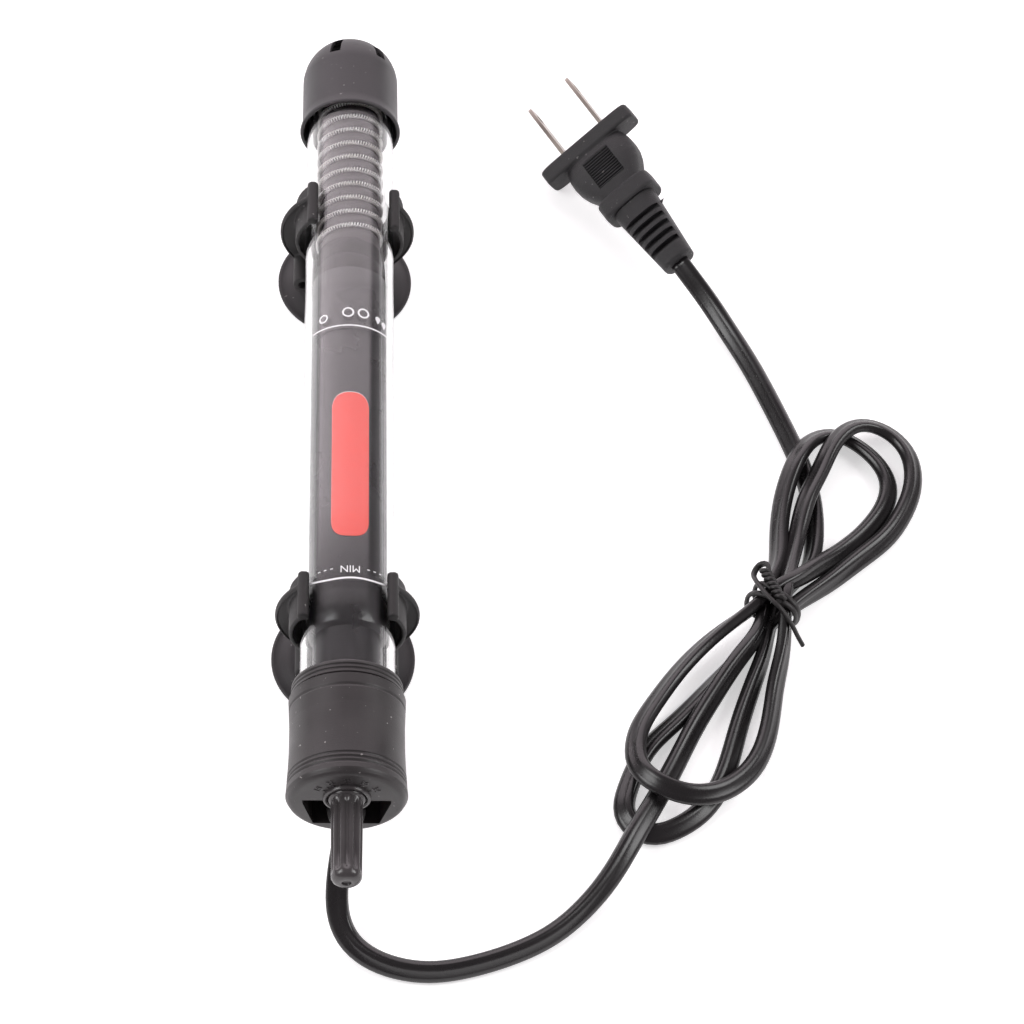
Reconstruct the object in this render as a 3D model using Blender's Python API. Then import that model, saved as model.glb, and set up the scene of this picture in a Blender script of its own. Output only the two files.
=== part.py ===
"""Submersible aquarium heater lying on its two suction holders, with its cord bound in a hank.

+Y runs along the heater, from the temperature knob to the guard cap. +Z is up and the table is z = 0.
The origin is under the middle of the heater. All sizes are in metres.
"""

import math

import bmesh
import bpy
from mathutils import Matrix, Vector

# Driving dimensions.
MM = 0.001
GAP = 0.3 * MM
AXIS_Z = 23.0 * MM
GLASS_R = 11.0 * MM
GLASS_WALL = 1.2 * MM
GLASS_OPEN_Y = -93.0 * MM
GLASS_DOME_Y = 107.5 * MM
CAP_R = 12.25 * MM
CAP_WALL = 0.9 * MM
CAP_RIM_R = 12.85 * MM
CAP_RIM_Y = 95.0 * MM
CAP_DOME_Y = 111.4 * MM
CAP_SLOT_WIDE = 2.3 * MM
CAP_SLOT_START = 2.6 * MM
CAP_SLOT_END = 8.6 * MM
HEAD_TOP_Y = -75.6 * MM
HEAD_FACE_Y = -102.0 * MM
HEAD_WALL_Y = GLASS_OPEN_Y - 1.6 * MM
COLLAR_TOP_Y = -71.8 * MM
RECESS_FLOOR_Y = -96.6 * MM
BOSS_R = 5.4 * MM
BOSS_PROUD = 0.8 * MM
GLAND_WIDE = 8.8 * MM
GLAND_TALL = 4.6 * MM
GLAND_DROP = 5.9 * MM
GLAND_END_Y = -103.0 * MM
STOPPER_NECK_R = 7.6 * MM
SPINDLE_UP = 2.8 * MM
SPINDLE_R = 1.3 * MM
KNOB_R = 3.6 * MM
KNOB_TIP_Y = -123.6 * MM
KNOB_RING_R = 4.15 * MM
KNOB_RING_DEEP = 1.2 * MM
BOSS_POCKET_Y = HEAD_FACE_Y + KNOB_RING_DEEP + GAP
KNOB_RANGE = math.radians(270.0)
FLUTES = 10
FLUTE_DEEP = 0.45 * MM
CAM_Y = -46.0 * MM
CAM_R = 2.2 * MM
CAM_RISE = 1.2 * MM
ARM_HINGE_Y = -14.0 * MM
ARM_THICK = 0.5 * MM
ARM_HALF_WIDE = 2.2 * MM
BOARD_DROP = -2.6 * MM
WINDOW_WIDE = 8.7 * MM
WINDOW_LONG = 41.7 * MM
WINDOW_Y = -15.3 * MM
WINDOW_TURN = math.radians(3.0)
SLEEVE_R = 8.8 * MM
SLEEVE_WALL = 0.4 * MM
SLEEVE_NEAR_Y = -59.3 * MM
SLEEVE_FAR_Y = 43.5 * MM
FORMER_R = 6.6 * MM
FORMER_COLLAR_R = 7.9 * MM
FORMER_COLLAR_Y = 54.2 * MM
FORMER_FAR_Y = 108.4 * MM
WIRE_R = 0.5 * MM
WIRE_PITCH = 4.48 * MM
WIRE_START_Y = 57.9 * MM
WIRE_TURNS = 10.5
NEAR_CLIP_Y = -49.5 * MM
FAR_CLIP_Y = 65.8 * MM
FAR_CLIP_TURN = math.radians(7.0)
CLIP_LENGTH = 12.5 * MM
CLIP_WALL = 1.0 * MM
CLIP_OPENING = math.radians(54.5)
BEAD_R = 1.35 * MM
FLANGE_R = 16.9 * MM
FLANGE_DROP = 4.5 * MM
FLANGE_THICK = 1.2 * MM
CHANNEL_WIDE = 24.4 * MM
CHANNEL_TALL = 5.2 * MM
CHANNEL_LONG = 18.0 * MM
CHANNEL_DROP = 16.1 * MM
CHANNEL_WALL = 1.2 * MM
CLIP_BULGE = 1.3 * MM
SLOT_WIDE = 8.0 * MM
CUP_R = 17.1 * MM
CUP_TALL = 3.1 * MM
CUP_STEM_R = 2.4 * MM
CUP_HEAD_R = 4.6 * MM
NEAR_CUP_SHIFT = (-0.75 * MM, -0.7 * MM)
FAR_CUP_SHIFT = (-0.9 * MM, -1.5 * MM)
CORD_THICK = 3.0 * MM
CORD_R = CORD_THICK / 2
TIE_AT = (104.0 * MM, -34.6 * MM)
BUNDLE_ANGLE = math.radians(58.0)
HANK_TALL = 9.5 * MM
TIE_WIDE = 3.0 * MM
TIE_THICK = 0.8 * MM
TIE_INSIDE = 15.0 * MM
TIE_NOTCH_WIDE = 18.0 * MM
PLUG_AT = (62.4 * MM, 104.0 * MM, 10.9 * MM)
PLUG_YAW = math.radians(31.0)
PLUG_PITCH = math.radians(3.0)
PLUG_ROLL = math.radians(-32.0)
RELIEF_START = -23.8 * MM
RELIEF_END = -44.6 * MM
BLADE_SPACING = 12.7 * MM
BLADE_LONG = 18.3 * MM
BLADE_WIDE = 6.35 * MM
BLADE_THICK = 1.5 * MM
BLADE_ROOT = 3.0 * MM
BLADE_POCKET = (1.05 * MM, 3.3 * MM, 3.5 * MM)
RELIEF_SLOTS = 5
RELIEF_FIRST_SLOT = 4.6 * MM
RELIEF_PITCH = 2.6 * MM
RELIEF_SLOT_WIDE = 1.2 * MM
RELIEF_SLOT_DEEP = 1.3 * MM
SEGMENTS = 32

# Colour, roughness and metallic value of each finish.
FINISHES = {
    "glass": ((0.93, 0.95, 0.95), 0.03, 0.0),
    "black_plastic": ((0.045, 0.043, 0.045), 0.45, 0.0),
    "black_rubber": ((0.040, 0.038, 0.039), 0.62, 0.0),
    "knob_plastic": ((0.035, 0.033, 0.034), 0.25, 0.0),
    "sleeve_black": ((0.020, 0.019, 0.020), 0.35, 0.0),
    "signal_red": ((0.85, 0.09, 0.07), 0.40, 0.0),
    "ceramic": ((0.30, 0.28, 0.27), 0.75, 0.0),
    "heating_alloy": ((0.62, 0.60, 0.57), 0.35, 0.9),
    "brass": ((0.70, 0.60, 0.40), 0.30, 1.0),
    "steel": ((0.60, 0.60, 0.62), 0.30, 1.0),
    "circuit_board": ((0.35, 0.24, 0.12), 0.60, 0.0),
    "capacitor_blue": ((0.05, 0.16, 0.40), 0.40, 0.0),
    "lamp_glass": ((0.95, 0.45, 0.20), 0.10, 0.0),
    "silicone": ((0.75, 0.75, 0.74), 0.50, 0.0),
    "wire_white": ((0.80, 0.79, 0.76), 0.50, 0.0),
    "cord_vinyl": ((0.030, 0.029, 0.030), 0.38, 0.0),
    "blade_metal": ((0.72, 0.68, 0.60), 0.28, 1.0),
}


def clear_scene():
    for item in list(bpy.data.objects):
        bpy.data.objects.remove(item, do_unlink=True)


def finish(name):
    """The material of that name, made once."""
    found = bpy.data.materials.get(name)
    if found:
        return found
    colour, roughness, metallic = FINISHES[name]
    material = bpy.data.materials.new(name)
    material.use_nodes = True
    shader = material.node_tree.nodes["Principled BSDF"]
    shader.inputs["Base Color"].default_value = (*colour, 1.0)
    shader.inputs["Roughness"].default_value = roughness
    shader.inputs["Metallic"].default_value = metallic
    if name == "glass":
        shader.inputs["Transmission Weight"].default_value = 1.0
    return material


def add_object(name, bm, material, location=(0, 0, 0), sharp=35.0):
    """An object of this mesh, facing out, shaded smooth up to the sharp angle."""
    bmesh.ops.recalc_face_normals(bm, faces=bm.faces)
    mesh = bpy.data.meshes.new(name)
    bm.to_mesh(mesh)
    bm.free()
    mesh.shade_smooth()
    mesh.set_sharp_from_angle(angle=math.radians(sharp))
    mesh.materials.append(finish(material))
    made = bpy.data.objects.new(name, mesh)
    made.location = location
    bpy.context.scene.collection.objects.link(made)
    return made


def as_helper(made):
    made.hide_render = True
    made.display_type = "WIRE"
    return made


def combine(target, helper, operation):
    """Cuts the helper from the target, or joins it to the target."""
    modifier = target.modifiers.new(helper.name, "BOOLEAN")
    modifier.operation = operation
    modifier.solver = "EXACT"
    modifier.object = as_helper(helper)


def about_y(radius, along, angle):
    return Vector((radius * math.sin(angle), along, radius * math.cos(angle)))


def about_z(radius, along, angle):
    return Vector((radius * math.cos(angle), radius * math.sin(angle), along))


def arc(centre, radius, start, end, steps):
    """Points (radius, along) on an arc. Angles run from the radial direction towards +along."""
    points = []
    for step in range(steps + 1):
        angle = start + (end - start) * step / steps
        points.append((centre[0] + radius * math.cos(angle), centre[1] + radius * math.sin(angle)))
    return points


def turned(profile, place=about_y, segments=SEGMENTS):
    """A closed solid of revolution. A profile that starts and ends on the axis isn't closed across it."""
    bm = bmesh.new()
    rings = []
    for radius, along in profile:
        if radius < 1e-6:
            rings.append([bm.verts.new(place(0.0, along, 0.0))])
            continue
        angles = [2 * math.pi * step / segments for step in range(segments)]
        rings.append([bm.verts.new(place(radius, along, angle)) for angle in angles])
    pairs = list(zip(rings, rings[1:]))
    if len(rings[0]) > 1:
        pairs.append((rings[-1], rings[0]))
    for first, second in pairs:
        join_rings(bm, first, second)
    return bm


def join_rings(bm, first, second):
    count = max(len(first), len(second))
    for step in range(count):
        after = (step + 1) % count
        if len(first) == 1:
            bm.faces.new((first[0], second[step], second[after]))
        elif len(second) == 1:
            bm.faces.new((first[step], first[after], second[0]))
        else:
            bm.faces.new((first[step], first[after], second[after], second[step]))


def lofted(sections):
    """A solid through closed sections that have the same number of points."""
    bm = bmesh.new()
    rings = [[bm.verts.new(point) for point in section] for section in sections]
    for first, second in zip(rings, rings[1:]):
        join_rings(bm, first, second)
    bm.faces.new(rings[0])
    bm.faces.new(list(reversed(rings[-1])))
    return bm


def extruded_along_y(outline, start, end):
    """A prism of an (x, z) outline."""
    return lofted([[Vector((x, along, z)) for x, z in outline] for along in (start, end)])


def box_mesh(low, high):
    outline = [(low[0], low[2]), (high[0], low[2]), (high[0], high[2]), (low[0], high[2])]
    return extruded_along_y(outline, low[1], high[1])


def stadium(wide, tall, centre=(0.0, 0.0), steps=6):
    """An (x, z) outline with round ends."""
    radius = tall / 2
    reach = wide / 2 - radius
    points = []
    for side, start in ((1, -math.pi / 2), (-1, math.pi / 2)):
        for step in range(steps + 1):
            angle = start + math.pi * step / steps
            x = centre[0] + side * reach + radius * math.cos(angle)
            points.append((x, centre[1] + radius * math.sin(angle)))
    return points


def rounded_section(half_wide, half_tall, along, power=4.0, count=24):
    """A superellipse across the Y axis: power 2 is an ellipse, and a higher power is squarer."""
    points = []
    for step in range(count):
        angle = 2 * math.pi * step / count
        x = half_wide * math.copysign(abs(math.cos(angle)) ** (2 / power), math.cos(angle))
        z = half_tall * math.copysign(abs(math.sin(angle)) ** (2 / power), math.sin(angle))
        points.append(Vector((x, along, z)))
    return points


def rod(radius, start, end, segments=20):
    """A solid cylinder along Y."""
    return turned([(0.0, start), (radius, start), (radius, end), (0.0, end)], segments=segments)


def on_axis(name, bm, material, sharp=35.0):
    """An object whose own origin is on the heater's axis."""
    return add_object(name, bm, material, (0, 0, AXIS_Z), sharp)


def on_spindle_axis(name, bm, material):
    """An object whose own origin is on the axis of the knob and its spindle."""
    return add_object(name, bm, material, (0, 0, AXIS_Z + SPINDLE_UP))


# The glass tube and what closes it.


def make_glass_tube():
    inner = GLASS_R - GLASS_WALL
    profile = [(0.0, GLASS_DOME_Y + GLASS_R)]
    profile += arc((0, GLASS_DOME_Y), GLASS_R, math.pi / 2, 0, 8)[1:]
    profile += [(GLASS_R, GLASS_OPEN_Y), (inner, GLASS_OPEN_Y)]
    profile += arc((0, GLASS_DOME_Y), inner, 0, math.pi / 2, 6)[:-1]
    profile += [(0.0, GLASS_DOME_Y + inner)]
    on_axis("glass_tube", turned(profile), "glass")


def make_guard_cap():
    """A domed cap with a swelled rim and six slots round its crown."""
    inner = CAP_R - CAP_WALL
    rim_back = CAP_RIM_Y + 2.2 * MM
    profile = [(0.0, CAP_DOME_Y + CAP_R)]
    profile += arc((0, CAP_DOME_Y), CAP_R, math.pi / 2, 0, 8)[1:]
    profile += [(CAP_R, rim_back), (CAP_RIM_R, CAP_RIM_Y + 0.5 * MM), (CAP_RIM_R, CAP_RIM_Y)]
    profile += [(CAP_RIM_R - 0.8 * MM, CAP_RIM_Y), (inner, rim_back)]
    profile += arc((0, CAP_DOME_Y), inner, 0, math.pi / 2, 6)[:-1]
    profile += [(0.0, CAP_DOME_Y + inner)]
    cap = on_axis("guard_cap", turned(profile), "black_plastic")
    for step in range(6):
        slot = box_mesh(
            (-CAP_SLOT_WIDE / 2, CAP_DOME_Y + CAP_SLOT_START, 4.0 * MM),
            (CAP_SLOT_WIDE / 2, CAP_DOME_Y + CAP_SLOT_END, 14.0 * MM),
        )
        cutter = on_axis(f"cap_slot_cutter_{step}", slot, "black_plastic")
        cutter.rotation_euler.y = math.radians(60 * step - 20)
        combine(cap, cutter, "DIFFERENCE")


def make_cap_cushion():
    """A soft pad between the end of the glass and the crown of the cap."""
    base = GLASS_DOME_Y + GLASS_R + GAP
    profile = [(0.0, base), (3.2 * MM, base), (3.2 * MM, base + 1.6 * MM)]
    profile += [(2.4 * MM, base + 3.0 * MM), (0.0, base + 3.0 * MM)]
    on_axis("cap_cushion", turned(profile, segments=20), "silicone")


def make_seal_collar():
    """The grooved ring that closes the head round the glass."""
    bore = GLASS_R + GAP
    front = HEAD_TOP_Y + GAP
    groove = front + 1.9 * MM
    profile = [(bore, front), (12.95 * MM, front), (12.95 * MM, groove - 0.4 * MM), (12.5 * MM, groove)]
    profile += [(12.95 * MM, groove + 0.4 * MM), (12.7 * MM, COLLAR_TOP_Y - 0.4 * MM)]
    profile += [(12.2 * MM, COLLAR_TOP_Y), (bore, COLLAR_TOP_Y)]
    on_axis("seal_collar", turned(profile), "black_rubber")


def head_profile():
    """The head's outline from the middle of its face, over the grooves to its open end, and up its bore."""
    bore = GLASS_R + GAP
    profile = [(0.0, HEAD_FACE_Y), (12.1 * MM, HEAD_FACE_Y)]
    profile += [(13.1 * MM, -101.2 * MM), (13.6 * MM, -99.9 * MM)]
    for groove_y in (-98.6 * MM, -97.5 * MM, -96.4 * MM):
        profile += [(13.5 * MM, groove_y - 0.45 * MM), (13.15 * MM, groove_y)]
    profile += [(13.4 * MM, -95.6 * MM), (13.15 * MM, -89.0 * MM), (13.1 * MM, -82.5 * MM)]
    profile += [(13.25 * MM, -77.0 * MM), (13.0 * MM, HEAD_TOP_Y)]
    profile += [(bore, HEAD_TOP_Y), (bore, HEAD_WALL_Y), (0.0, HEAD_WALL_Y)]
    return profile


def make_head_cover():
    """The head: a cup over the open end of the glass, with a recess for the cord and a boss for the knob."""
    head = on_axis("head_cover", turned(head_profile()), "black_plastic")
    past_face = HEAD_FACE_Y - 2 * MM
    recess = [(-9.9 * MM, 1.2 * MM), (-9.9 * MM, 0.0), (-7.5 * MM, -9.2 * MM)]
    recess += [(7.5 * MM, -9.2 * MM), (9.9 * MM, 0.0), (9.9 * MM, 1.2 * MM)]
    cutter = on_axis("recess_cutter", extruded_along_y(recess, past_face, RECESS_FLOOR_Y), "black_plastic")
    combine(head, cutter, "DIFFERENCE")
    bore = rod(SPINDLE_R + GAP, past_face, HEAD_WALL_Y + 2 * MM, 16)
    combine(head, on_spindle_axis("spindle_hole_cutter", bore, "black_plastic"), "DIFFERENCE")
    seat = rod(KNOB_RING_R + 0.8 * MM, past_face, BOSS_POCKET_Y + GAP)
    combine(head, on_spindle_axis("boss_seat_cutter", seat, "black_plastic"), "DIFFERENCE")
    combine(head, on_spindle_axis("knob_boss", boss_mesh(), "black_plastic"), "UNION")
    outline = stadium(GLAND_WIDE + 2 * GAP, GLAND_TALL + 2 * GAP, (0, -GLAND_DROP))
    hole = extruded_along_y(outline, RECESS_FLOOR_Y - 1 * MM, HEAD_WALL_Y + 2 * MM)
    combine(head, on_axis("gland_hole_cutter", hole, "black_plastic"), "DIFFERENCE")


def boss_mesh():
    """The round boss on the recess's floor, with a pocket for the knob's ring and a hole for the spindle."""
    foot = RECESS_FLOOR_Y + 0.5 * MM
    face = HEAD_FACE_Y - BOSS_PROUD
    hole = SPINDLE_R + 1.2 * GAP
    profile = [(hole, foot), (BOSS_R, foot), (BOSS_R, face), (KNOB_RING_R + GAP, face)]
    profile += [(KNOB_RING_R + GAP, BOSS_POCKET_Y), (hole, BOSS_POCKET_Y)]
    return turned(profile, segments=24)


def make_cord_gland():
    """The rubber grommet that the cord comes out of, under the knob."""
    sections = []
    for along, inset in ((HEAD_WALL_Y - 0.5 * MM, 0.0), (GLAND_END_Y + 2 * MM, 0.0), (GLAND_END_Y, 0.5 * MM)):
        outline = stadium(GLAND_WIDE - 2 * inset, GLAND_TALL - 2 * inset, (0, -GLAND_DROP))
        sections.append([Vector((x, along, z)) for x, z in outline])
    on_axis("cord_gland", lofted(sections), "black_rubber")


def make_rubber_stopper():
    """The bung in the open end of the glass, whose neck carries the thermostat."""
    bung = GLASS_R - GLASS_WALL - GAP
    profile = [(0.0, GLASS_OPEN_Y), (bung, GLASS_OPEN_Y), (bung, -73.5 * MM), (STOPPER_NECK_R, -73.0 * MM)]
    profile += [(STOPPER_NECK_R, SLEEVE_NEAR_Y - GAP), (0.0, SLEEVE_NEAR_Y - GAP)]
    stopper = on_axis("rubber_stopper", turned(profile), "black_rubber")
    hole = rod(SPINDLE_R + GAP, GLASS_OPEN_Y - 2 * MM, SLEEVE_NEAR_Y + 2 * MM, 16)
    combine(stopper, on_spindle_axis("stopper_hole_cutter", hole, "black_rubber"), "DIFFERENCE")


# The knob and the thermostat that it sets.


def fluted_ring(radius, depth, along, count=40):
    """A ring round the Y axis with FLUTES hollows of this depth."""
    points = []
    for step in range(count):
        angle = 2 * math.pi * step / count
        hollow = depth * (0.5 + 0.5 * math.cos(FLUTES * angle)) ** 1.5
        points.append(about_y(radius - hollow, along, angle))
    return points


def make_knob():
    """A long fluted knob with a ring in the head's boss, a round end and a blind hole for the spindle."""
    root_y = HEAD_FACE_Y + KNOB_RING_DEEP
    tip = KNOB_TIP_Y
    shape = [(1.7 * MM, 0.0, HEAD_FACE_Y - 9 * MM), (1.7 * MM, 0.0, root_y), (KNOB_RING_R, 0.0, root_y)]
    shape += [(KNOB_RING_R, 0.0, HEAD_FACE_Y - 0.9 * MM), (KNOB_R, 0.0, HEAD_FACE_Y - 1.1 * MM)]
    shape += [(KNOB_R, FLUTE_DEEP, HEAD_FACE_Y - 2.2 * MM), (KNOB_R, FLUTE_DEEP, tip + 3.0 * MM)]
    shape += [(KNOB_R - 0.1 * MM, 0.0, tip + 2.0 * MM), (KNOB_R - 0.6 * MM, 0.0, tip + 0.8 * MM)]
    shape += [(KNOB_R - 1.6 * MM, 0.0, tip), (0.9 * MM, 0.0, tip), (0.5 * MM, 0.0, tip + 0.6 * MM)]
    bm = lofted([fluted_ring(*ring) for ring in shape])
    on_spindle_axis("temperature_knob", bm, "knob_plastic")


def snail_radius(angle):
    """The cam's radius rises steadily over the knob's range, then falls back over the rest of the turn."""
    middle = (angle + math.pi) % (2 * math.pi) - math.pi
    half = KNOB_RANGE / 2
    if abs(middle) <= half:
        return CAM_R + CAM_RISE / 2 * middle / half
    past = (abs(middle) - half) / (math.pi - half)
    return CAM_R + math.copysign(CAM_RISE / 2 * (1 - past), middle)


def make_spindle():
    """A steel rod from the knob to the thermostat, with a snail cam near its end."""
    angles = [2 * math.pi * step / SEGMENTS for step in range(SEGMENTS)]
    round_radii = [SPINDLE_R] * SEGMENTS
    cam_radii = [snail_radius(angle - math.pi) for angle in angles]
    near_face = CAM_Y - 1 * MM
    far_face = CAM_Y + 1 * MM
    stations = [(HEAD_FACE_Y - 8.5 * MM, round_radii), (near_face, round_radii), (near_face, cam_radii)]
    stations += [(far_face, cam_radii), (far_face, round_radii), (CAM_Y + 2 * MM, round_radii)]
    rings = [[about_y(*turn) for turn in zip(radii, [along] * SEGMENTS, angles)] for along, radii in stations]
    on_spindle_axis("adjusting_spindle", lofted(rings), "steel")


def make_spindle_seal():
    """An O-ring round the spindle, between the head's wall and the stopper."""
    centre = (SPINDLE_R + GAP + 0.5 * MM, (GLASS_OPEN_Y + HEAD_WALL_Y) / 2)
    profile = arc(centre, 0.45 * MM, 0, 2 * math.pi, 8)[:-1]
    on_spindle_axis("spindle_o_ring", turned(profile, segments=16), "black_rubber")


def make_inner_sleeve():
    """The black printed sleeve that hides the thermostat."""
    inner = SLEEVE_R - SLEEVE_WALL
    profile = [(inner, SLEEVE_NEAR_Y), (SLEEVE_R, SLEEVE_NEAR_Y)]
    profile += [(SLEEVE_R, SLEEVE_FAR_Y), (inner, SLEEVE_FAR_Y)]
    on_axis("inner_sleeve", turned(profile), "sleeve_black")


def make_signal_window():
    """The red bar on the sleeve, over the lamp: a thin curved plate with round ends."""
    inner = SLEEVE_R + GAP
    outer = inner + 0.3 * MM
    half_wide = WINDOW_WIDE / 2
    half_long = WINDOW_LONG / 2 - half_wide
    outline = []
    for side in (1, -1):
        for step in range(9):
            angle = math.pi * step / 8
            along = half_long + half_wide * math.sin(angle)
            outline.append((side * half_wide * math.cos(angle), side * along))
    sections = []
    for radius in (inner, outer):
        turns = [(WINDOW_TURN + across / SLEEVE_R, along) for across, along in outline]
        sections.append([about_y(radius, WINDOW_Y + along, turn) for turn, along in turns])
    on_axis("signal_window", curved_plate(*sections), "signal_red", 50.0)


def curved_plate(under, over):
    """A plate between two outlines, faced with strips that follow its curve."""
    bm = bmesh.new()
    low = [bm.verts.new(point) for point in under]
    high = [bm.verts.new(point) for point in over]
    join_rings(bm, low, high)
    count = len(low)
    for ring in (low, high):
        for step in range(count // 2 - 1):
            face = (ring[step], ring[step + 1], ring[count - 2 - step], ring[count - 1 - step])
            bm.faces.new(face)
    return bm


def make_thermostat():
    """A board with a bimetal strip, a setting arm that the cam bears on, a capacitor and a signal lamp."""
    board = box_mesh((-6.2 * MM, SLEEVE_NEAR_Y + GAP, BOARD_DROP - 1.2 * MM), (6.2 * MM, 32 * MM, BOARD_DROP))
    on_axis("thermostat_board", board, "circuit_board")
    floor = BOARD_DROP + GAP
    bimetal = box_mesh((-2.2 * MM, -53.5 * MM, floor + 0.9 * MM), (2.2 * MM, -18.0 * MM, floor + 1.3 * MM))
    strip = on_axis("bimetal_strip", bimetal, "brass")
    foot = box_mesh((-2.2 * MM, -23.0 * MM, floor), (2.2 * MM, -18.0 * MM, floor + 1.1 * MM))
    combine(strip, on_axis("bimetal_foot", foot, "brass"), "UNION")
    side = ARM_HALF_WIDE + GAP
    post = box_mesh((side, ARM_HINGE_Y - 2 * MM, floor), (side + 2 * MM, ARM_HINGE_Y + 2 * MM, 1.6 * MM))
    on_axis("arm_post", post, "steel")
    on_axis("capacitor", rod(2.6 * MM, 5.8 * MM, 10.2 * MM), "capacitor_blue").location.z += floor + 2.6 * MM
    lamp = [(0.0, -14 * MM), (1.1 * MM, -13.4 * MM), (1.6 * MM, -12.4 * MM)]
    lamp += [(1.6 * MM, -5 * MM), (0.0, -5 * MM)]
    on_axis("signal_lamp", turned(lamp, segments=16), "lamp_glass").location.z += 5.2 * MM


def make_contact_arm():
    """The arm that the cam pushes down. Its own origin is on its hinge, across the tube."""
    height = AXIS_Z + SPINDLE_UP - CAM_R - GAP - ARM_THICK / 2
    tip = CAM_Y - 2.5 * MM - ARM_HINGE_Y
    arm = box_mesh((-ARM_HALF_WIDE, tip, -ARM_THICK / 2), (ARM_HALF_WIDE, 1.5 * MM, ARM_THICK / 2))
    add_object("contact_arm", arm, "brass", (0, ARM_HINGE_Y, height))


def make_former():
    """The element's ceramic core, with a wider collar next to the sleeve and a bore for the return lead."""
    near = SLEEVE_FAR_Y + GAP
    profile = [(1.2 * MM, near), (FORMER_COLLAR_R, near), (FORMER_COLLAR_R, FORMER_COLLAR_Y - 0.6 * MM)]
    profile += [(FORMER_COLLAR_R - 0.5 * MM, FORMER_COLLAR_Y), (FORMER_R, FORMER_COLLAR_Y)]
    profile += [(FORMER_R, FORMER_FAR_Y), (1.2 * MM, FORMER_FAR_Y)]
    on_axis("element_former", turned(profile, segments=32), "ceramic")
    disc_y = FORMER_FAR_Y + GAP
    disc = [(0.0, disc_y), (8.4 * MM, disc_y), (8.4 * MM, disc_y + 1.5 * MM), (0.0, disc_y + 1.5 * MM)]
    on_axis("former_end_disc", turned(disc, segments=28), "ceramic")


def make_heating_wire():
    """The coiled wire wound on the former as a helix."""
    radius = FORMER_R + GAP + WIRE_R
    steps_a_turn = 12
    points = []
    for step in range(int(WIRE_TURNS * steps_a_turn) + 1):
        angle = 2 * math.pi * step / steps_a_turn
        points.append(about_y(radius, WIRE_START_Y + WIRE_PITCH * step / steps_a_turn, angle))
    made = add_tube("heating_wire", points, WIRE_R, "heating_alloy", 1)
    made.location = (0, 0, AXIS_Z)


def add_tube(name, points, radius, material, resolution=2):
    """A round tube through these points, closed at its ends."""
    curve = bpy.data.curves.new(name, "CURVE")
    curve.dimensions = "3D"
    curve.bevel_depth = radius
    curve.bevel_resolution = resolution
    curve.use_fill_caps = True
    spline = curve.splines.new("POLY")
    spline.points.add(len(points) - 1)
    for place, point in zip(spline.points, points):
        place.co = (*point, 1.0)
    curve.materials.append(finish(material))
    made = bpy.data.objects.new(name, curve)
    bpy.context.scene.collection.objects.link(made)
    return made


def smooth_route(points, spacing):
    """Points about one spacing apart on a smooth curve through these points."""
    knots = [Vector(point) for point in points]
    knots = [knots[0] * 2 - knots[1]] + knots + [knots[-1] * 2 - knots[-2]]
    made = [knots[1]]
    for before, start, end, after in zip(knots, knots[1:], knots[2:], knots[3:]):
        count = max(1, round((end - start).length / spacing))
        for step in range(1, count + 1):
            t = step / count
            straight = start * 2 + (end - before) * t
            bend = (before * 2 - start * 5 + end * 4 - after) * t**2
            twist = (start * 3 - before - end * 3 + after) * t**3
            made.append((straight + bend + twist) / 2)
    return made


def make_leads():
    """Two insulated wires from the thermostat to the element: one to its near end, one through its bore."""
    drop = AXIS_Z - 6.2 * MM
    start = SLEEVE_NEAR_Y + GAP
    live = [(3.0 * MM, start, drop), (3.0 * MM, SLEEVE_FAR_Y, drop)]
    add_tube("lead_wire_live", smooth_route(live, 20 * MM), 0.6 * MM, "wire_white", 1)
    back = [(-3.0 * MM, start, drop), (-3.0 * MM, 0.0, drop), (-3.0 * MM, 30 * MM, drop)]
    back += [(-1.4 * MM, 37 * MM, AXIS_Z - 3.0 * MM), (0.0, 42 * MM, AXIS_Z), (0.0, 48 * MM, AXIS_Z)]
    back += [(0.0, 80 * MM, AXIS_Z), (0.0, FORMER_FAR_Y, AXIS_Z)]
    add_tube("lead_wire_return", smooth_route(back, 3 * MM), 0.6 * MM, "wire_white", 1)


# The holders: a clip on the tube, and a suction cup under it.


def clip_sleeve_outline(steps=22):
    """The C of the clip as (x, z): it lies close to the glass underneath and stands off it at the sides."""
    under = GLASS_R + GAP
    outer = []
    inner = []
    for step in range(steps + 1):
        angle = CLIP_OPENING + (2 * math.pi - 2 * CLIP_OPENING) * step / steps
        radius = under + CLIP_BULGE * math.sin(angle) ** 2
        inner.append((radius * math.sin(angle), radius * math.cos(angle)))
        outer.append(((radius + CLIP_WALL) * math.sin(angle), (radius + CLIP_WALL) * math.cos(angle)))
    return outer + list(reversed(inner))


def bead_outline(side):
    """The round bead on the tip of one arm, as (x, z)."""
    angle = side * CLIP_OPENING
    reach = GLASS_R + GAP + BEAD_R
    middle = (reach * math.sin(angle), reach * math.cos(angle))
    return arc(middle, BEAD_R, 0, 2 * math.pi, 12)[:-1]


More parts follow.
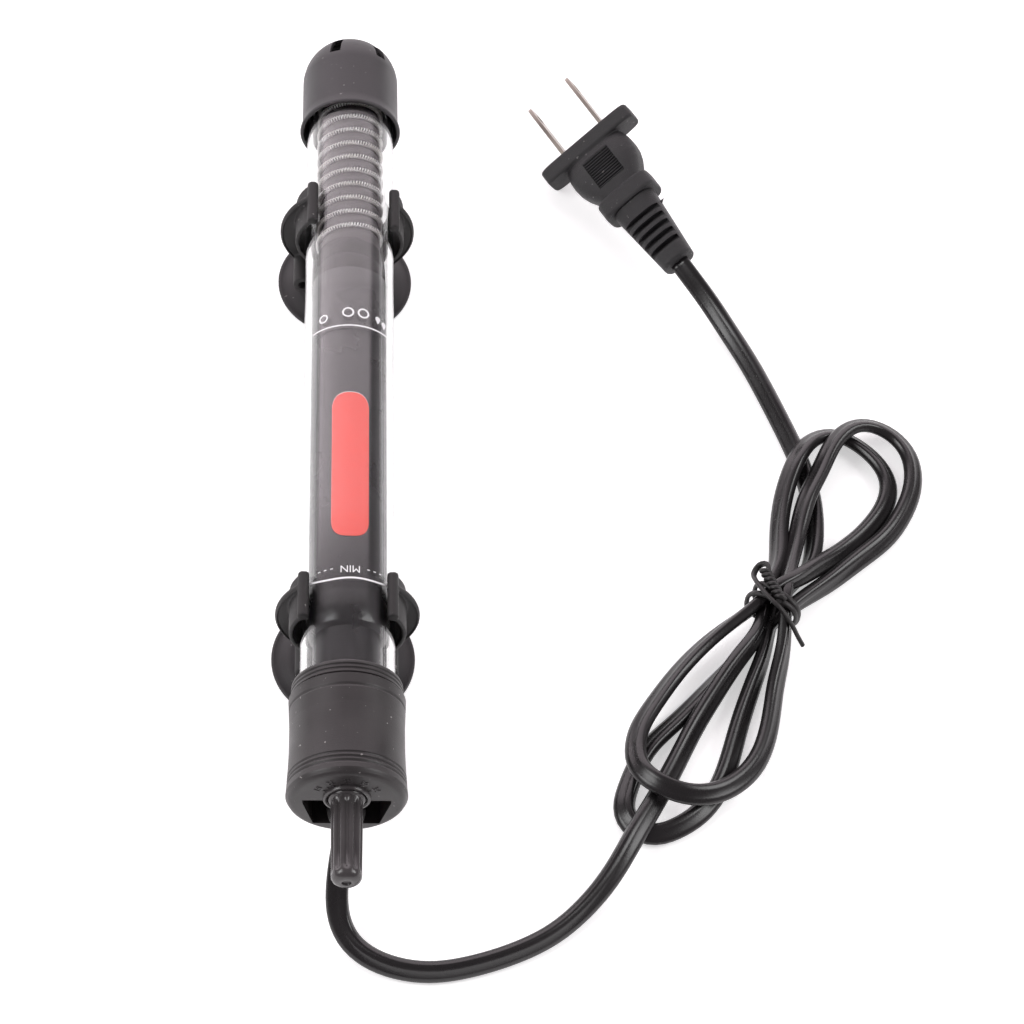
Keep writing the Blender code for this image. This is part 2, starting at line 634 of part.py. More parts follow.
def make_clip(name, along, turn):
    """A rubber clip: an open sleeve with a bead on each tip, a flange across it and a channel under it."""
    half = CLIP_LENGTH / 2
    long_half = CHANNEL_LONG / 2
    channel = stadium(CHANNEL_WIDE, CHANNEL_TALL, (0, -CHANNEL_DROP))
    hollow = stadium(CHANNEL_WIDE - 2 * CHANNEL_WALL, CHANNEL_TALL - 2 * CHANNEL_WALL, (0, -CHANNEL_DROP))
    slot_low = (-SLOT_WIDE / 2, -CHANNEL_LONG, -CHANNEL_DROP - CHANNEL_TALL)
    clip = on_axis(name, extruded_along_y(clip_sleeve_outline(), -half, half), "black_rubber")
    place_like_clip(clip, along, turn)
    additions = {
        "flange": extruded_along_y(flange_outline(), -FLANGE_THICK / 2, FLANGE_THICK / 2),
        "channel": extruded_along_y(channel, -long_half, long_half),
        "web": box_mesh((-6 * MM, -half, -14.2 * MM), (6 * MM, half, -11.8 * MM)),
        "left_bead": extruded_along_y(bead_outline(-1), -half - 0.2 * MM, half + 0.2 * MM),
        "right_bead": extruded_along_y(bead_outline(1), -half - 0.2 * MM, half + 0.2 * MM),
    }
    cuts = {
        "hollow": extruded_along_y(hollow, -CHANNEL_LONG, CHANNEL_LONG),
        "slot": box_mesh(slot_low, (SLOT_WIDE / 2, CHANNEL_LONG, -CHANNEL_DROP)),
    }
    for operation, shapes in (("UNION", additions), ("DIFFERENCE", cuts)):
        for shape_name, bm in shapes.items():
            helper = on_axis(f"{name}_{shape_name}", bm, "black_rubber")
            place_like_clip(helper, along, turn)
            combine(clip, helper, operation)


def place_like_clip(item, along, turn):
    item.location = (0, along, AXIS_Z)
    item.rotation_euler.y = turn


def flange_outline(steps=26):
    """The flange as (x, z): a disc centred below the tube's axis, open at the top, down to the channel."""
    low = -CHANNEL_DROP
    top_angle = math.radians(42)
    low_angle = math.acos((low + FLANGE_DROP) / FLANGE_R)
    inner = GLASS_R + 2 * GAP
    outline = []
    for start, end in ((top_angle, low_angle), (2 * math.pi - low_angle, 2 * math.pi - top_angle)):
        for step in range(steps // 2 + 1):
            angle = start + (end - start) * step / (steps // 2)
            outline.append((FLANGE_R * math.sin(angle), -FLANGE_DROP + FLANGE_R * math.cos(angle)))
    for step in range(steps + 1):
        angle = 2 * math.pi - CLIP_OPENING - (2 * math.pi - 2 * CLIP_OPENING) * step / steps
        radius = inner + CLIP_BULGE * math.sin(angle) ** 2
        outline.append((radius * math.sin(angle), radius * math.cos(angle)))
    return outline


def make_cup(name, along, shift, turn):
    """A suction cup, hollow underneath, whose mushroom head sits in the clip's channel."""
    head_low = AXIS_Z - CHANNEL_DROP - CHANNEL_TALL / 2 + CHANNEL_WALL + GAP
    profile = [(0.0, 1.6 * MM), (6 * MM, 1.4 * MM), (12 * MM, 0.7 * MM), (16.2 * MM, 0.0), (CUP_R, 0.0)]
    profile += [(CUP_R, 0.6 * MM), (12.5 * MM, 1.7 * MM), (7 * MM, CUP_TALL - 0.3 * MM)]
    profile += [(CUP_STEM_R, CUP_TALL), (CUP_STEM_R, head_low)]
    profile += [(CUP_HEAD_R, head_low), (CUP_HEAD_R, head_low + 1.0 * MM)]
    profile += [(0.0, head_low + 1.4 * MM)]
    bm = turned(profile, about_z, 32)
    lean = Matrix.Rotation(turn, 3, "Y")
    pivot = Vector((0, 0, head_low))
    for vert in bm.verts:
        if vert.co.z >= head_low - 0.05 * MM:
            vert.co = pivot + lean @ (vert.co - pivot)
    add_object(name, bm, "black_rubber", (shift, along, 0))


# The cord, its tie and its plug.

# Routes of the cord's two loose stretches, as (x, y, z) in millimetres. Between them it is in the hank.
ROUTE_TO_HANK = [
    (0.0, -103.3, 17.1), (-0.5, -107.3, 16.6), (-1.4, -112.0, 13.8), (-2.0, -116.5, 9.2),
    (-1.6, -121.3, 4.9), (1.2, -126.5, 2.2), (8.0, -131.4, 1.5), (19.0, -133.6, 1.5),
    (33.0, -130.6, 1.5), (46.0, -124.6, 1.5), (55.0, -116.6, 2.2), (61.0, -109.2, 3.6),
    (63.9, -104.2, 4.4), (66.3, -100.0, 4.4),
]
ROUTE_TO_PLUG = [
    (110.8, 16.3, 1.6), (107.0, 25.5, 1.5), (102.5, 37.6, 1.5), (97.4, 48.4, 2.2),
    (92.0, 57.4, 4.8), (85.75, 65.1, 8.4),
]

# The outside of the hank, as (x, y) in millimetres, round its lower lobe and then its upper one.
HANK_OUTLINE = [
    (98.6, -36.0), (86.0, -45.0), (73.0, -59.0), (64.8, -76.0), (61.6, -90.0), (63.6, -98.2),
    (70.0, -101.4), (78.0, -99.2), (92.0, -88.0), (100.5, -76.5), (104.4, -60.0), (107.0, -46.0),
    (108.4, -39.0), (113.4, -33.4), (122.0, -28.4), (134.0, -17.5), (143.4, -2.0), (143.0, 11.5),
    (134.0, 21.0), (122.0, 20.0), (115.4, 17.6), (109.2, 15.2), (105.6, 4.0), (102.6, -12.0),
    (101.2, -26.0),
]


def millimetres(points):
    return [Vector(point) * MM for point in points]


def make_cord():
    """The cord's plain solids: a tube for each loose stretch, and one solid for the bound hank."""
    for name, route in (("cord_heater_run", ROUTE_TO_HANK), ("cord_plug_run", ROUTE_TO_PLUG)):
        add_tube(name, smooth_route(millimetres(route), 6.5 * MM), CORD_R, "cord_vinyl")
    around = [(x, y, 0.0) for x, y in HANK_OUTLINE]
    closed = smooth_route(millimetres(around + around[:1]), 6.0 * MM)[:-1]
    sections = [[Vector((point.x, point.y, height)) for point in closed] for height in (0.0, HANK_TALL)]
    hank = add_object("cord_hank", lofted(sections), "cord_vinyl")
    half_long = TIE_WIDE / 2 + GAP
    half_notch = TIE_NOTCH_WIDE / 2
    notch = box_mesh((-half_notch, -half_long, -1 * MM), (half_notch, half_long, TIE_THICK + 2 * GAP))
    cutter = add_object("tie_notch_cutter", notch, "cord_vinyl", (*TIE_AT, 0))
    cutter.rotation_euler.z = BUNDLE_ANGLE - math.pi / 2
    combine(hank, cutter, "DIFFERENCE")


def make_tie():
    """The wire tie round the hank's waist, as a plain band."""
    half_long = TIE_WIDE / 2
    inner = TIE_INSIDE / 2
    outer = inner + TIE_THICK
    top = HANK_TALL + GAP
    band = box_mesh((-outer, -half_long, 0.0), (outer, half_long, top + TIE_THICK))
    tie = add_object("twist_tie", band, "cord_vinyl")
    hole = box_mesh((-inner, -TIE_WIDE, TIE_THICK), (inner, TIE_WIDE, top))
    cutter = add_object("tie_hole_cutter", hole, "cord_vinyl")
    for item in (tie, cutter):
        item.location = (*TIE_AT, 0)
        item.rotation_euler.z = BUNDLE_ANGLE - math.pi / 2
    combine(tie, cutter, "DIFFERENCE")


def make_plug():
    """A two-blade plug lying on one edge. In its own frame the blades point along +Y."""
    frame = bpy.data.objects.new("plug_frame", None)
    bpy.context.scene.collection.objects.link(frame)
    tilt = Matrix.Rotation(PLUG_PITCH, 4, "X") @ Matrix.Rotation(PLUG_ROLL, 4, "Y")
    frame.matrix_world = Matrix.Translation(PLUG_AT) @ Matrix.Rotation(PLUG_YAW, 4, "Z") @ tilt
    body = [(13.3, 3.2, 0.0), (13.7, 3.6, -0.6), (13.7, 3.6, -3.6), (13.3, 3.2, -4.2), (9.0, 3.2, -4.25)]
    body += [(9.6, 4.6, -6.5), (9.9, 5.2, -9.5), (9.4, 5.2, -12.5), (8.0, 4.9, -15.5), (6.5, 4.6, -17.6)]
    body += [(6.5, 4.6, -18.6), (8.0, 5.2, -18.9), (8.1, 5.3, -23.0), (7.6, 4.9, RELIEF_START / MM + 0.3)]
    sections = [rounded_section(wide * MM, tall * MM, along * MM) for wide, tall, along in body]
    plug = add_object("plug_body", lofted(sections), "black_plastic")
    relief = [relief_section(RELIEF_START, 0.0)]
    edge = 0.05 * MM
    for step in range(RELIEF_SLOTS):
        start = RELIEF_START - RELIEF_FIRST_SLOT - step * RELIEF_PITCH
        end = start - RELIEF_SLOT_WIDE
        relief += [relief_section(start, 0.0), relief_section(start - edge, RELIEF_SLOT_DEEP)]
        relief += [relief_section(end + edge, RELIEF_SLOT_DEEP), relief_section(end, 0.0)]
    relief += [relief_section(RELIEF_END + 0.6 * MM, 0.0), relief_section(RELIEF_END, 0.5 * MM)]
    strain = add_object("plug_strain_relief", lofted(relief), "black_rubber")
    plug.parent = frame
    strain.parent = frame
    for side, name in ((-1, "plug_blade_left"), (1, "plug_blade_right")):
        blade = add_object(name, blade_mesh(), "blade_metal")
        blade.location.x = side * BLADE_SPACING / 2
        blade.parent = frame
        wide, deep, tall = BLADE_POCKET
        pocket = box_mesh((-wide, -deep, -tall), (wide, 1 * MM, tall))
        cutter = add_object(f"{name}_pocket_cutter", pocket, "blade_metal")
        cutter.location.x = side * BLADE_SPACING / 2
        cutter.parent = frame
        combine(plug, cutter, "DIFFERENCE")


def relief_section(along, inset):
    """A section of the tapered strain relief, smaller by the inset where a slot runs round it."""
    share = (RELIEF_START - along) / (RELIEF_START - RELIEF_END)
    wide = (6.3 - 1.9 * share) * MM
    tall = (4.6 - 1.0 * share) * MM
    return rounded_section(wide - inset, tall - inset, along, 3.0, 20)


def blade_mesh():
    """A flat blade with a tapered tip."""
    half = BLADE_WIDE / 2
    thin = BLADE_THICK / 2
    rows = [(-BLADE_ROOT, half, thin), (BLADE_LONG - 1.2 * MM, half, thin)]
    rows += [(BLADE_LONG, half - 0.9 * MM, thin / 2)]
    sections = []
    for along, tall, wide in rows:
        corners = [(-wide, -tall), (wide, -tall), (wide, tall), (-wide, tall)]
        sections.append([Vector((x, along, z)) for x, z in corners])
    return lofted(sections)


def main():
    clear_scene()
    make_glass_tube()
    make_guard_cap()
    make_cap_cushion()
    make_seal_collar()
    make_head_cover()
    make_cord_gland()
    make_rubber_stopper()
    make_knob()
    make_spindle()
    make_spindle_seal()
    make_inner_sleeve()
    make_signal_window()
    make_thermostat()
    make_contact_arm()
    make_former()
    make_heating_wire()
    make_leads()
    make_clip("near_clip", NEAR_CLIP_Y, 0.0)
    make_clip("far_clip", FAR_CLIP_Y, FAR_CLIP_TURN)
    make_cup("near_suction_cup", NEAR_CLIP_Y + NEAR_CUP_SHIFT[1], NEAR_CUP_SHIFT[0], 0.0)
    make_cup("far_suction_cup", FAR_CLIP_Y + FAR_CUP_SHIFT[1], FAR_CUP_SHIFT[0], FAR_CLIP_TURN)
    make_cord()
    make_tie()
    make_plug()


main()
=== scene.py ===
"""Looks of the submersible aquarium heater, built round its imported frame.

Shapes are worked out in millimetres in the row frame: +Y runs from the knob to the guard cap and +Z is up.
add_piece turns them into metres and says which CAD body each piece rides on.
"""

from math import acos, copysign, cos, exp, hypot, pi, radians, sin

import bmesh
import bpy
import numpy as np
from mathutils import Matrix, Vector


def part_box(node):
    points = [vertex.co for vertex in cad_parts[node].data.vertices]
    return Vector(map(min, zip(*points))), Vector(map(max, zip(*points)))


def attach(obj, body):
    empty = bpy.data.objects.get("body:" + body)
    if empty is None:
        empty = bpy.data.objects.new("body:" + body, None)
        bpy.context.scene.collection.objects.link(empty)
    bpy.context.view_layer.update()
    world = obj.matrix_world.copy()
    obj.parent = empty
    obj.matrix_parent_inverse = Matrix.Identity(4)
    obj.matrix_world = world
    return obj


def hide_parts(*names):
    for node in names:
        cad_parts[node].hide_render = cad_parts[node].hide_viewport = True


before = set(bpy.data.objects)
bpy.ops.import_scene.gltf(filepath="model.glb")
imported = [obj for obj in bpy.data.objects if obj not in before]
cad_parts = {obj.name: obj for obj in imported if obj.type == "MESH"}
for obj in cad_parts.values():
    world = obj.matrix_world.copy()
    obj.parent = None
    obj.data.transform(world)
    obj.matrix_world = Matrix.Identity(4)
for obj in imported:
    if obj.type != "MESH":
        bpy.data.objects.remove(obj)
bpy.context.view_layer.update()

MM = 0.001


def box_mm(node):
    low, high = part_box(node)
    return low / MM, high / MM


def middle_of(node):
    low, high = box_mm(node)
    return (low + high) / 2


# Driving sizes, read from the frame.
glass_low, glass_high = box_mm("glass_tube")
cap_low, cap_high = box_mm("guard_cap")
head_low, head_high = box_mm("head_cover")
knob_low, knob_high = box_mm("temperature_knob")
sleeve_low, sleeve_high = box_mm("inner_sleeve")
former_low, former_high = box_mm("element_former")
collar_low, collar_high = box_mm("seal_collar")
AXIS_Z = (glass_low.z + glass_high.z) / 2
GLASS_R = (glass_high.z - glass_low.z) / 2
GLASS_WALL = 1.2
FIT_GAP = 0.3
CAP_RIM_R = (cap_high.x - cap_low.x) / 2
CAP_R = CAP_RIM_R - 0.6
CAP_WALL = 0.9
CAP_SLOTS = 6
HEAD_TOP_Y = head_high.y
BOSS_PROUD = 0.8
HEAD_FACE_Y = head_low.y + BOSS_PROUD
RECESS_FLOOR_Y = HEAD_FACE_Y + 5.4
SPINDLE_Z = (knob_low.z + knob_high.z) / 2
KNOB_R = 3.6
KNOB_FLUTES = 10
KNOB_RING_R = (knob_high.z - knob_low.z) / 2
FORMER_COLLAR_R = (former_high.z - former_low.z) / 2
FORMER_R = 6.6
ELEMENT_START_Y = 54.2
COIL_R = 7.85
COIL_PITCH = 4.48
COIL_TURNS = 11.0
COIL_CREST_Y = 57.9
PRINTED_R = 9.2
NECK_END_Y = -72.4
NECK_BORE_R = 7.75
FILM_START_Y = 24.4
UPPER_LINE_Y = 24.2
LOWER_LINE_Y = -49.2
CLIP_OPENING = radians(54.5)
CLIP_WALL = 1.0
CLIP_BULGE = 1.3
BEAD_R = 1.35
FLANGE_R = 16.9
FLANGE_DROP = 4.5
CHANNEL_DROP = 16.1
CHANNEL_OUTSIDE = (24.4, 5.2)
CHANNEL_INSIDE = (22.0, 2.8)
CHANNEL_HALF_LONG = 9
CLIP_HALF_LONG = 6.0
CUP_NECK_R = 2.4
NEAR_ARMS_AT = -2.2
FAR_ARMS_AT = -1.3
FAR_TURN = radians(7.0)
CORD_WIDE = 5.1
CORD_THICK = 3.0
TIE_AT = (104.0, -34.6)
BUNDLE_ANGLE = radians(58.0)
PLUG_AT = (62.4, 104.0, 10.9)
PLUG_TURN = (radians(3.0), radians(-32.0), radians(31.0))
BLADE_SPACING = 12.7
BLADE_HALF_WIDE = 3.175
BLADE_HALF_THICK = 0.52
BLADE_LONG = 17.6
RELIEF_ROOT_Y = -23.8
RELIEF_LONG = 20.8
RELIEF_SLOTS = 5


# Shapes.


def about_y(radius, along, angle):
    """A point round the Y axis. Angle 0 is up, and a quarter turn is towards +X."""
    return Vector((radius * sin(angle), along, radius * cos(angle)))


def about_z(radius, along, angle):
    return Vector((radius * cos(angle), radius * sin(angle), along))


def arc(centre, radius, start, end, steps):
    """Points on an arc. Angles run from the first coordinate towards the second."""
    angles = [start + (end - start) * step / steps for step in range(steps + 1)]
    return [(centre[0] + radius * cos(a), centre[1] + radius * sin(a)) for a in angles]


def join_rings(bm, first, second):
    count = max(len(first), len(second))
    for step in range(count):
        after = (step + 1) % count
        if len(first) == 1:
            bm.faces.new((first[0], second[step], second[after]))
        elif len(second) == 1:
            bm.faces.new((first[step], first[after], second[0]))
        else:
            bm.faces.new((first[step], first[after], second[after], second[step]))


def ring_of(radius, along, count, place=about_y):
    """Points evenly round a circle."""
    return [place(radius, along, 2 * pi * step / count) for step in range(count)]


def turned(profile, place=about_y, segments=96):
    """A solid of revolution, whose profile starts and ends on the axis or else closes on itself."""
    bm = bmesh.new()
    rings = []
    for radius, along in profile:
        count = 1 if radius < 1e-6 else segments
        rings.append([bm.verts.new(point) for point in ring_of(radius, along, count, place)])
    pairs = list(zip(rings, rings[1:]))
    if len(rings[0]) > 1:
        pairs.append((rings[-1], rings[0]))
    for first, second in pairs:
        join_rings(bm, first, second)
    return bm


def rod(radius, start, end, segments):
    return turned([(0.0, start), (radius, start), (radius, end), (0.0, end)], segments=segments)


def lofted(sections, bm=None):
    """A solid through closed sections that have the same number of points."""
    bm = bm or bmesh.new()
    rings = [[bm.verts.new(point) for point in section] for section in sections]
    for first, second in zip(rings, rings[1:]):
        join_rings(bm, first, second)
    bm.faces.new(rings[0])
    bm.faces.new(list(reversed(rings[-1])))
    return bm


def extruded_along_y(outline, start, end, bm=None):
    """A prism of an (x, z) outline."""
    return lofted([[Vector((x, along, z)) for x, z in outline] for along in (start, end)], bm)


def box_mesh(low, high, bm=None):
    outline = [(low[0], low[2]), (high[0], low[2]), (high[0], high[2]), (low[0], high[2])]
    return extruded_along_y(outline, low[1], high[1], bm)


def stadium(wide, tall, centre=(0.0, 0.0)):
    """An (x, z) outline with round ends."""
    radius = tall / 2
    reach = wide / 2 - radius
    points = []
    for side, start in ((1, -pi / 2), (-1, pi / 2)):
        points += arc((centre[0] + side * reach, centre[1]), radius, start, start + pi, 14)
    return points


def squared(value, power):
    """The value to a power, with its sign kept. A power under 1 squares off a circle."""
    return copysign(abs(value) ** power, value)


def rounded_section(half_wide, half_tall, along, power, count=64):
    """A superellipse across the Y axis: power 2 is an ellipse, and a higher power is squarer."""
    points = []
    for x, z in circle(1.0, count):
        points.append(Vector((half_wide * squared(x, 2 / power), along, half_tall * squared(z, 2 / power))))
    return points


def resampled(knots, spacing):
    """Rows about one spacing apart on a smooth curve through the knots. Each starts with a place."""
    knots = np.array(knots, float)
    knots = np.vstack([2 * knots[0] - knots[1], knots, 2 * knots[-1] - knots[-2]])
    rows = [knots[1]]
    for before, start, end, after in zip(knots, knots[1:], knots[2:], knots[3:]):
        count = max(1, round(np.linalg.norm((end - start)[:3]) / spacing))
        for step in range(1, count + 1):
            t = step / count
            straight = 2 * start + (end - before) * t
            bend = (2 * before - 5 * start + 4 * end - after) * t**2
            twist = (3 * start - before - 3 * end + after) * t**3
            rows.append((straight + bend + twist) / 2)
    return np.array(rows)


def eased(rows, passes):
    """The rows drawn towards their neighbours this many times. The two ends stay."""
    for _ in range(passes):
        rows[1:-1] = rows[1:-1] / 2 + (rows[:-2] + rows[2:]) / 4
    return rows


def swept(points, section, wide_ways=None, bm=None):
    """A solid that carries a section along a line. wide_ways says where its first axis points."""
    places = [Vector(point[:3]) for point in points]
    way = Vector((0, 0, 1))
    rings = []
    for index, place in enumerate(places):
        before = places[max(index - 1, 0)]
        after = places[min(index + 1, len(places) - 1)]
        forward = (after - before).normalized()
        way = Vector(wide_ways[index]) if wide_ways else way
        if abs(way.dot(forward)) > 0.98:
            way = Vector((1, 0, 0))
        way = (way - forward * way.dot(forward)).normalized()
        side = forward.cross(way)
        rings.append([place + way * a + side * b for a, b in section])
    return lofted(rings, bm)


def circle(radius, count=12):
    return arc((0, 0), radius, 0, 2 * pi, count)[:-1]


# Objects.


def mesh_object(name, bm, material, place=None, sharp=40.0):
    """An object of this mesh, turned from millimetres into metres in the row frame."""
    bmesh.ops.recalc_face_normals(bm, faces=bm.faces)
    if place is not None:
        bm.transform(place)
    bm.transform(Matrix.Scale(MM, 4))
    mesh = bpy.data.meshes.new(name)
    bm.to_mesh(mesh)
    bm.free()
    mesh.shade_smooth()
    mesh.set_sharp_from_angle(angle=radians(sharp))
    mesh.materials.append(material)
    made = bpy.data.objects.new(name, mesh)
    bpy.context.scene.collection.objects.link(made)
    return made


def add_piece(name, bm, material, replaces=(), place=None, sharp=40.0, body="heater"):
    """A piece that rides on a body and may stand for CAD nodes."""
    made = mesh_object(name, bm, material, place, sharp)
    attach(made, body)
    if replaces:
        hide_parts(*replaces)
    return made


def cut(target, bm, place):
    """Cuts a helper shape from the target for good."""
    helper = mesh_object("helper", bm, target.data.materials[0], place)
    modifier = target.modifiers.new("cut", "BOOLEAN")
    modifier.operation = "DIFFERENCE"
    modifier.solver = "EXACT"
    modifier.object = helper
    settle(target)
    bpy.data.objects.remove(helper, do_unlink=True)


def settle(target):
    """Keeps the mesh as its modifiers leave it, and clears them."""
    bpy.context.view_layer.update()
    graph = bpy.context.evaluated_depsgraph_get()
    mesh = bpy.data.meshes.new_from_object(target.evaluated_get(graph))
    target.modifiers.clear()
    old = target.data
    target.data = mesh
    bpy.data.meshes.remove(old)


def soften_edges(target, width, angle=40.0):
    modifier = target.modifiers.new("soften", "BEVEL")
    modifier.width = width * MM
    modifier.segments = 2
    modifier.limit_method = "ANGLE"
    modifier.angle_limit = radians(angle)
    modifier.harden_normals = True
    modifier.use_clamp_overlap = True


def resharpen(target):
    """Shades the target smooth again after a cut, but for its sharp edges."""
    target.data.shade_smooth()
    target.data.set_sharp_from_angle(angle=radians(50))


def mould(target, voxel, passes):
    """Fuses overlapping solids into one skin and rounds its edges, as a moulding's are."""
    remesh = target.modifiers.new("fuse", "REMESH")
    remesh.mode = "VOXEL"
    remesh.voxel_size = voxel * MM
    remesh.use_smooth_shade = True
    smooth = target.modifiers.new("round", "SMOOTH")
    smooth.factor = 0.5
    smooth.iterations = passes
    settle(target)
    target.data.shade_smooth()


ON_AXIS = Matrix.Translation((0, 0, AXIS_Z))
ON_SPINDLE = Matrix.Translation((0, 0, SPINDLE_Z))


# Materials.


def put(socket, value):
    """Joins another node's output to this socket, or sets the socket's own value."""
    if isinstance(value, bpy.types.NodeSocket):
        socket.id_data.links.new(value, socket)
    else:
        socket.default_value = value


def fill(node, **values):
    """Puts values in the node's sockets, whose names have _ for a space, and in its other settings."""
    for key, value in values.items():
        socket = key.replace("_", " ")
        if socket in node.inputs:
            put(node.inputs[socket], value)
        else:
            setattr(node, key, value)
    return node


def add(tree, kind, **values):
    return fill(tree.nodes.new(kind), **values)


def new_material(name):
    """A material, its node tree, its Principled shader and its object coordinates."""
    material = bpy.data.materials.new(name)
    material.use_nodes = True
    tree = material.node_tree
    where = add(tree, "ShaderNodeTexCoord").outputs["Object"]
    return material, tree, tree.nodes["Principled BSDF"], where


def surface(name, colour, roughness, metallic=0.0, grain=0.1, grain_mm=0.3, patchy=0.06, vary=0.18,
            dust=0.0, **sockets):
    """A Principled material with a fine bump, patches in its colour and roughness, and specks of dust."""
    material, tree, shader, where = new_material(name)
    broad = add(tree, "ShaderNodeTexNoise", Vector=where, Scale=110.0, Detail=5.0).outputs["Fac"]
    rough = add(tree, "ShaderNodeMapRange", Value=broad, From_Min=0.3, From_Max=0.7,
                To_Min=max(0.02, roughness - patchy), To_Max=roughness + patchy)
    tint = add(tree, "ShaderNodeValToRGB", Fac=broad)
    for stop, position, level in zip(tint.color_ramp.elements, (0.3, 0.7), (1 - vary, 1 + vary)):
        stop.position = position
        stop.color = (*[min(1, channel * level) for channel in colour], 1)
    shade = tint.outputs["Color"]
    if dust:
        specks = add(tree, "ShaderNodeTexNoise", Vector=where, Scale=900.0, Detail=1.0).outputs["Fac"]
        keep = add(tree, "ShaderNodeMapRange", Value=specks, From_Min=0.74, From_Max=0.79, To_Max=dust)
        shade = add(tree, "ShaderNodeMix", data_type="RGBA", Factor=keep.outputs["Result"], A=shade,
                    B=(0.42, 0.40, 0.39, 1)).outputs["Result"]
    fine = add(tree, "ShaderNodeTexNoise", Vector=where, Scale=1.0 / (grain_mm * MM), Detail=3.0)
    bump = add(tree, "ShaderNodeBump", Strength=grain, Distance=0.0002, Height=fine.outputs["Fac"])
    fill(shader, Metallic=metallic, Roughness=rough.outputs["Result"], Base_Color=shade,
         Normal=bump.outputs["Normal"], **sockets)
    return material


def clear_glass():
    """Polished glass with a faint ripple along the tube."""
    material, tree, shader, where = new_material("tube_glass")
    stretch = add(tree, "ShaderNodeMapping", Vector=where, Scale=(60.0, 12.0, 60.0)).outputs["Vector"]
    ripple = add(tree, "ShaderNodeTexNoise", Vector=stretch, Scale=1.0, Detail=1.0).outputs["Fac"]
    bump = add(tree, "ShaderNodeBump", Strength=0.02, Distance=0.001, Height=ripple)
    fill(shader, Base_Color=(0.985, 0.99, 0.988, 1), Roughness=0.01, IOR=1.47, Transmission_Weight=1.0,
         Normal=bump.outputs["Normal"])
    return material


def printed_sleeve():
    """The sleeve's black print, which is a thin grey film past the upper line."""
    material = surface("sleeve_print", (0.014, 0.013, 0.015), 0.3, grain=0.03, vary=0.3)
    tree = material.node_tree
    shader = tree.nodes["Principled BSDF"]
    where = add(tree, "ShaderNodeTexCoord").outputs["Object"]
    along = add(tree, "ShaderNodeSeparateXYZ", Vector=where).outputs["Y"]
    fade = add(tree, "ShaderNodeMapRange", Value=along, From_Min=FILM_START_Y * MM,
               From_Max=(FILM_START_Y + 0.5) * MM)
    black = shader.inputs["Base Color"].links[0].from_socket
    film = add(tree, "ShaderNodeMix", data_type="RGBA", Factor=fade.outputs["Result"], A=black,
               B=(0.052, 0.049, 0.052, 1))
    fill(shader, Base_Color=film.outputs["Result"])
    return material


GLASS = clear_glass()
PLASTIC = surface("satin_plastic", (0.024, 0.021, 0.0215), 0.42, grain=0.16, dust=0.5)
CAP_PLASTIC = surface("cap_plastic", (0.034, 0.031, 0.034), 0.47, grain=0.22, grain_mm=0.25, dust=0.3)
RUBBER = surface("matt_rubber", (0.0125, 0.0112, 0.0115), 0.6, grain=0.2, patchy=0.1, dust=0.35)
CUP_RUBBER = surface("cup_rubber", (0.019, 0.0175, 0.019), 0.48, grain=0.12, patchy=0.1, dust=0.25)
GLOSSY = surface("glossy_plastic", (0.047, 0.043, 0.044), 0.2, grain=0.04, dust=0.2)
SLEEVE = printed_sleeve()
# Red print with a faint red emission added: a painted glow that brightens the bar whatever the light.
RED_PRINT_WITH_PAINTED_GLOW = surface("red_print_painted_glow", (0.95, 0.065, 0.04), 0.42, grain=0.03, vary=0.04,
              Emission_Color=(1.0, 0.03, 0.0, 1.0), Emission_Strength=0.24)
PRINT = surface("white_print", (0.86, 0.86, 0.87), 0.5, grain=0.03, vary=0.03)
COLLAR = surface("dark_collar", (0.045, 0.040, 0.042), 0.5, grain=0.1)
CERAMIC = surface("grey_ceramic", (0.150, 0.136, 0.140), 0.75, grain=0.35, grain_mm=0.4)
ALLOY = surface("coiled_alloy", (0.95, 0.92, 0.88), 0.35, metallic=0.6, grain=0.02)
BRASS = surface("spring_brass", (0.72, 0.56, 0.30), 0.32, metallic=1.0, grain=0.05)
STEEL = surface("plain_steel", (0.60, 0.60, 0.61), 0.3, metallic=1.0, grain=0.05)
BOARD = surface("brown_laminate", (0.30, 0.19, 0.09), 0.55, grain=0.15)
BLUE = surface("blue_film", (0.04, 0.14, 0.38), 0.35, grain=0.03)
LAMP = surface("lamp_glass", (0.95, 0.42, 0.18), 0.08, grain=0.01, Transmission_Weight=0.6)
SILICONE = surface("soft_silicone", (0.72, 0.72, 0.70), 0.5, grain=0.05)
WHITE_WIRE = surface("white_insulation", (0.78, 0.77, 0.74), 0.5, grain=0.08)
VINYL = surface("cord_vinyl", (0.010, 0.009, 0.0095), 0.27, grain=0.08, grain_mm=0.5, patchy=0.04)
PLUG_VINYL = surface("plug_vinyl", (0.0145, 0.0135, 0.0148), 0.52, grain=0.9, grain_mm=0.25, vary=0.3,
                     dust=0.35)
TIE_VINYL = surface("tie_vinyl", (0.008, 0.007, 0.007), 0.45, grain=0.3, grain_mm=0.35)
NICKEL = surface("nickel_plate", (0.30, 0.265, 0.235), 0.34, metallic=1.0, grain=0.04, vary=0.12)


# The glass, its prints and what closes it.


def make_glass():
    inner = GLASS_R - GLASS_WALL
    dome_y = glass_high.y - GLASS_R
    profile = [(0.0, glass_high.y)]
    profile += arc((0, dome_y), GLASS_R, pi / 2, 0, 16)[1:]
    profile += [(GLASS_R, glass_low.y + 0.3), (GLASS_R - 0.3, glass_low.y)]
    profile += [(inner + 0.3, glass_low.y), (inner, glass_low.y + 0.3)]
    profile += arc((0, dome_y), inner, 0, pi / 2, 14)[:-1]
    profile += [(0.0, dome_y + inner)]
    add_piece("clear_tube", turned(profile), GLASS, ["glass_tube"], ON_AXIS)


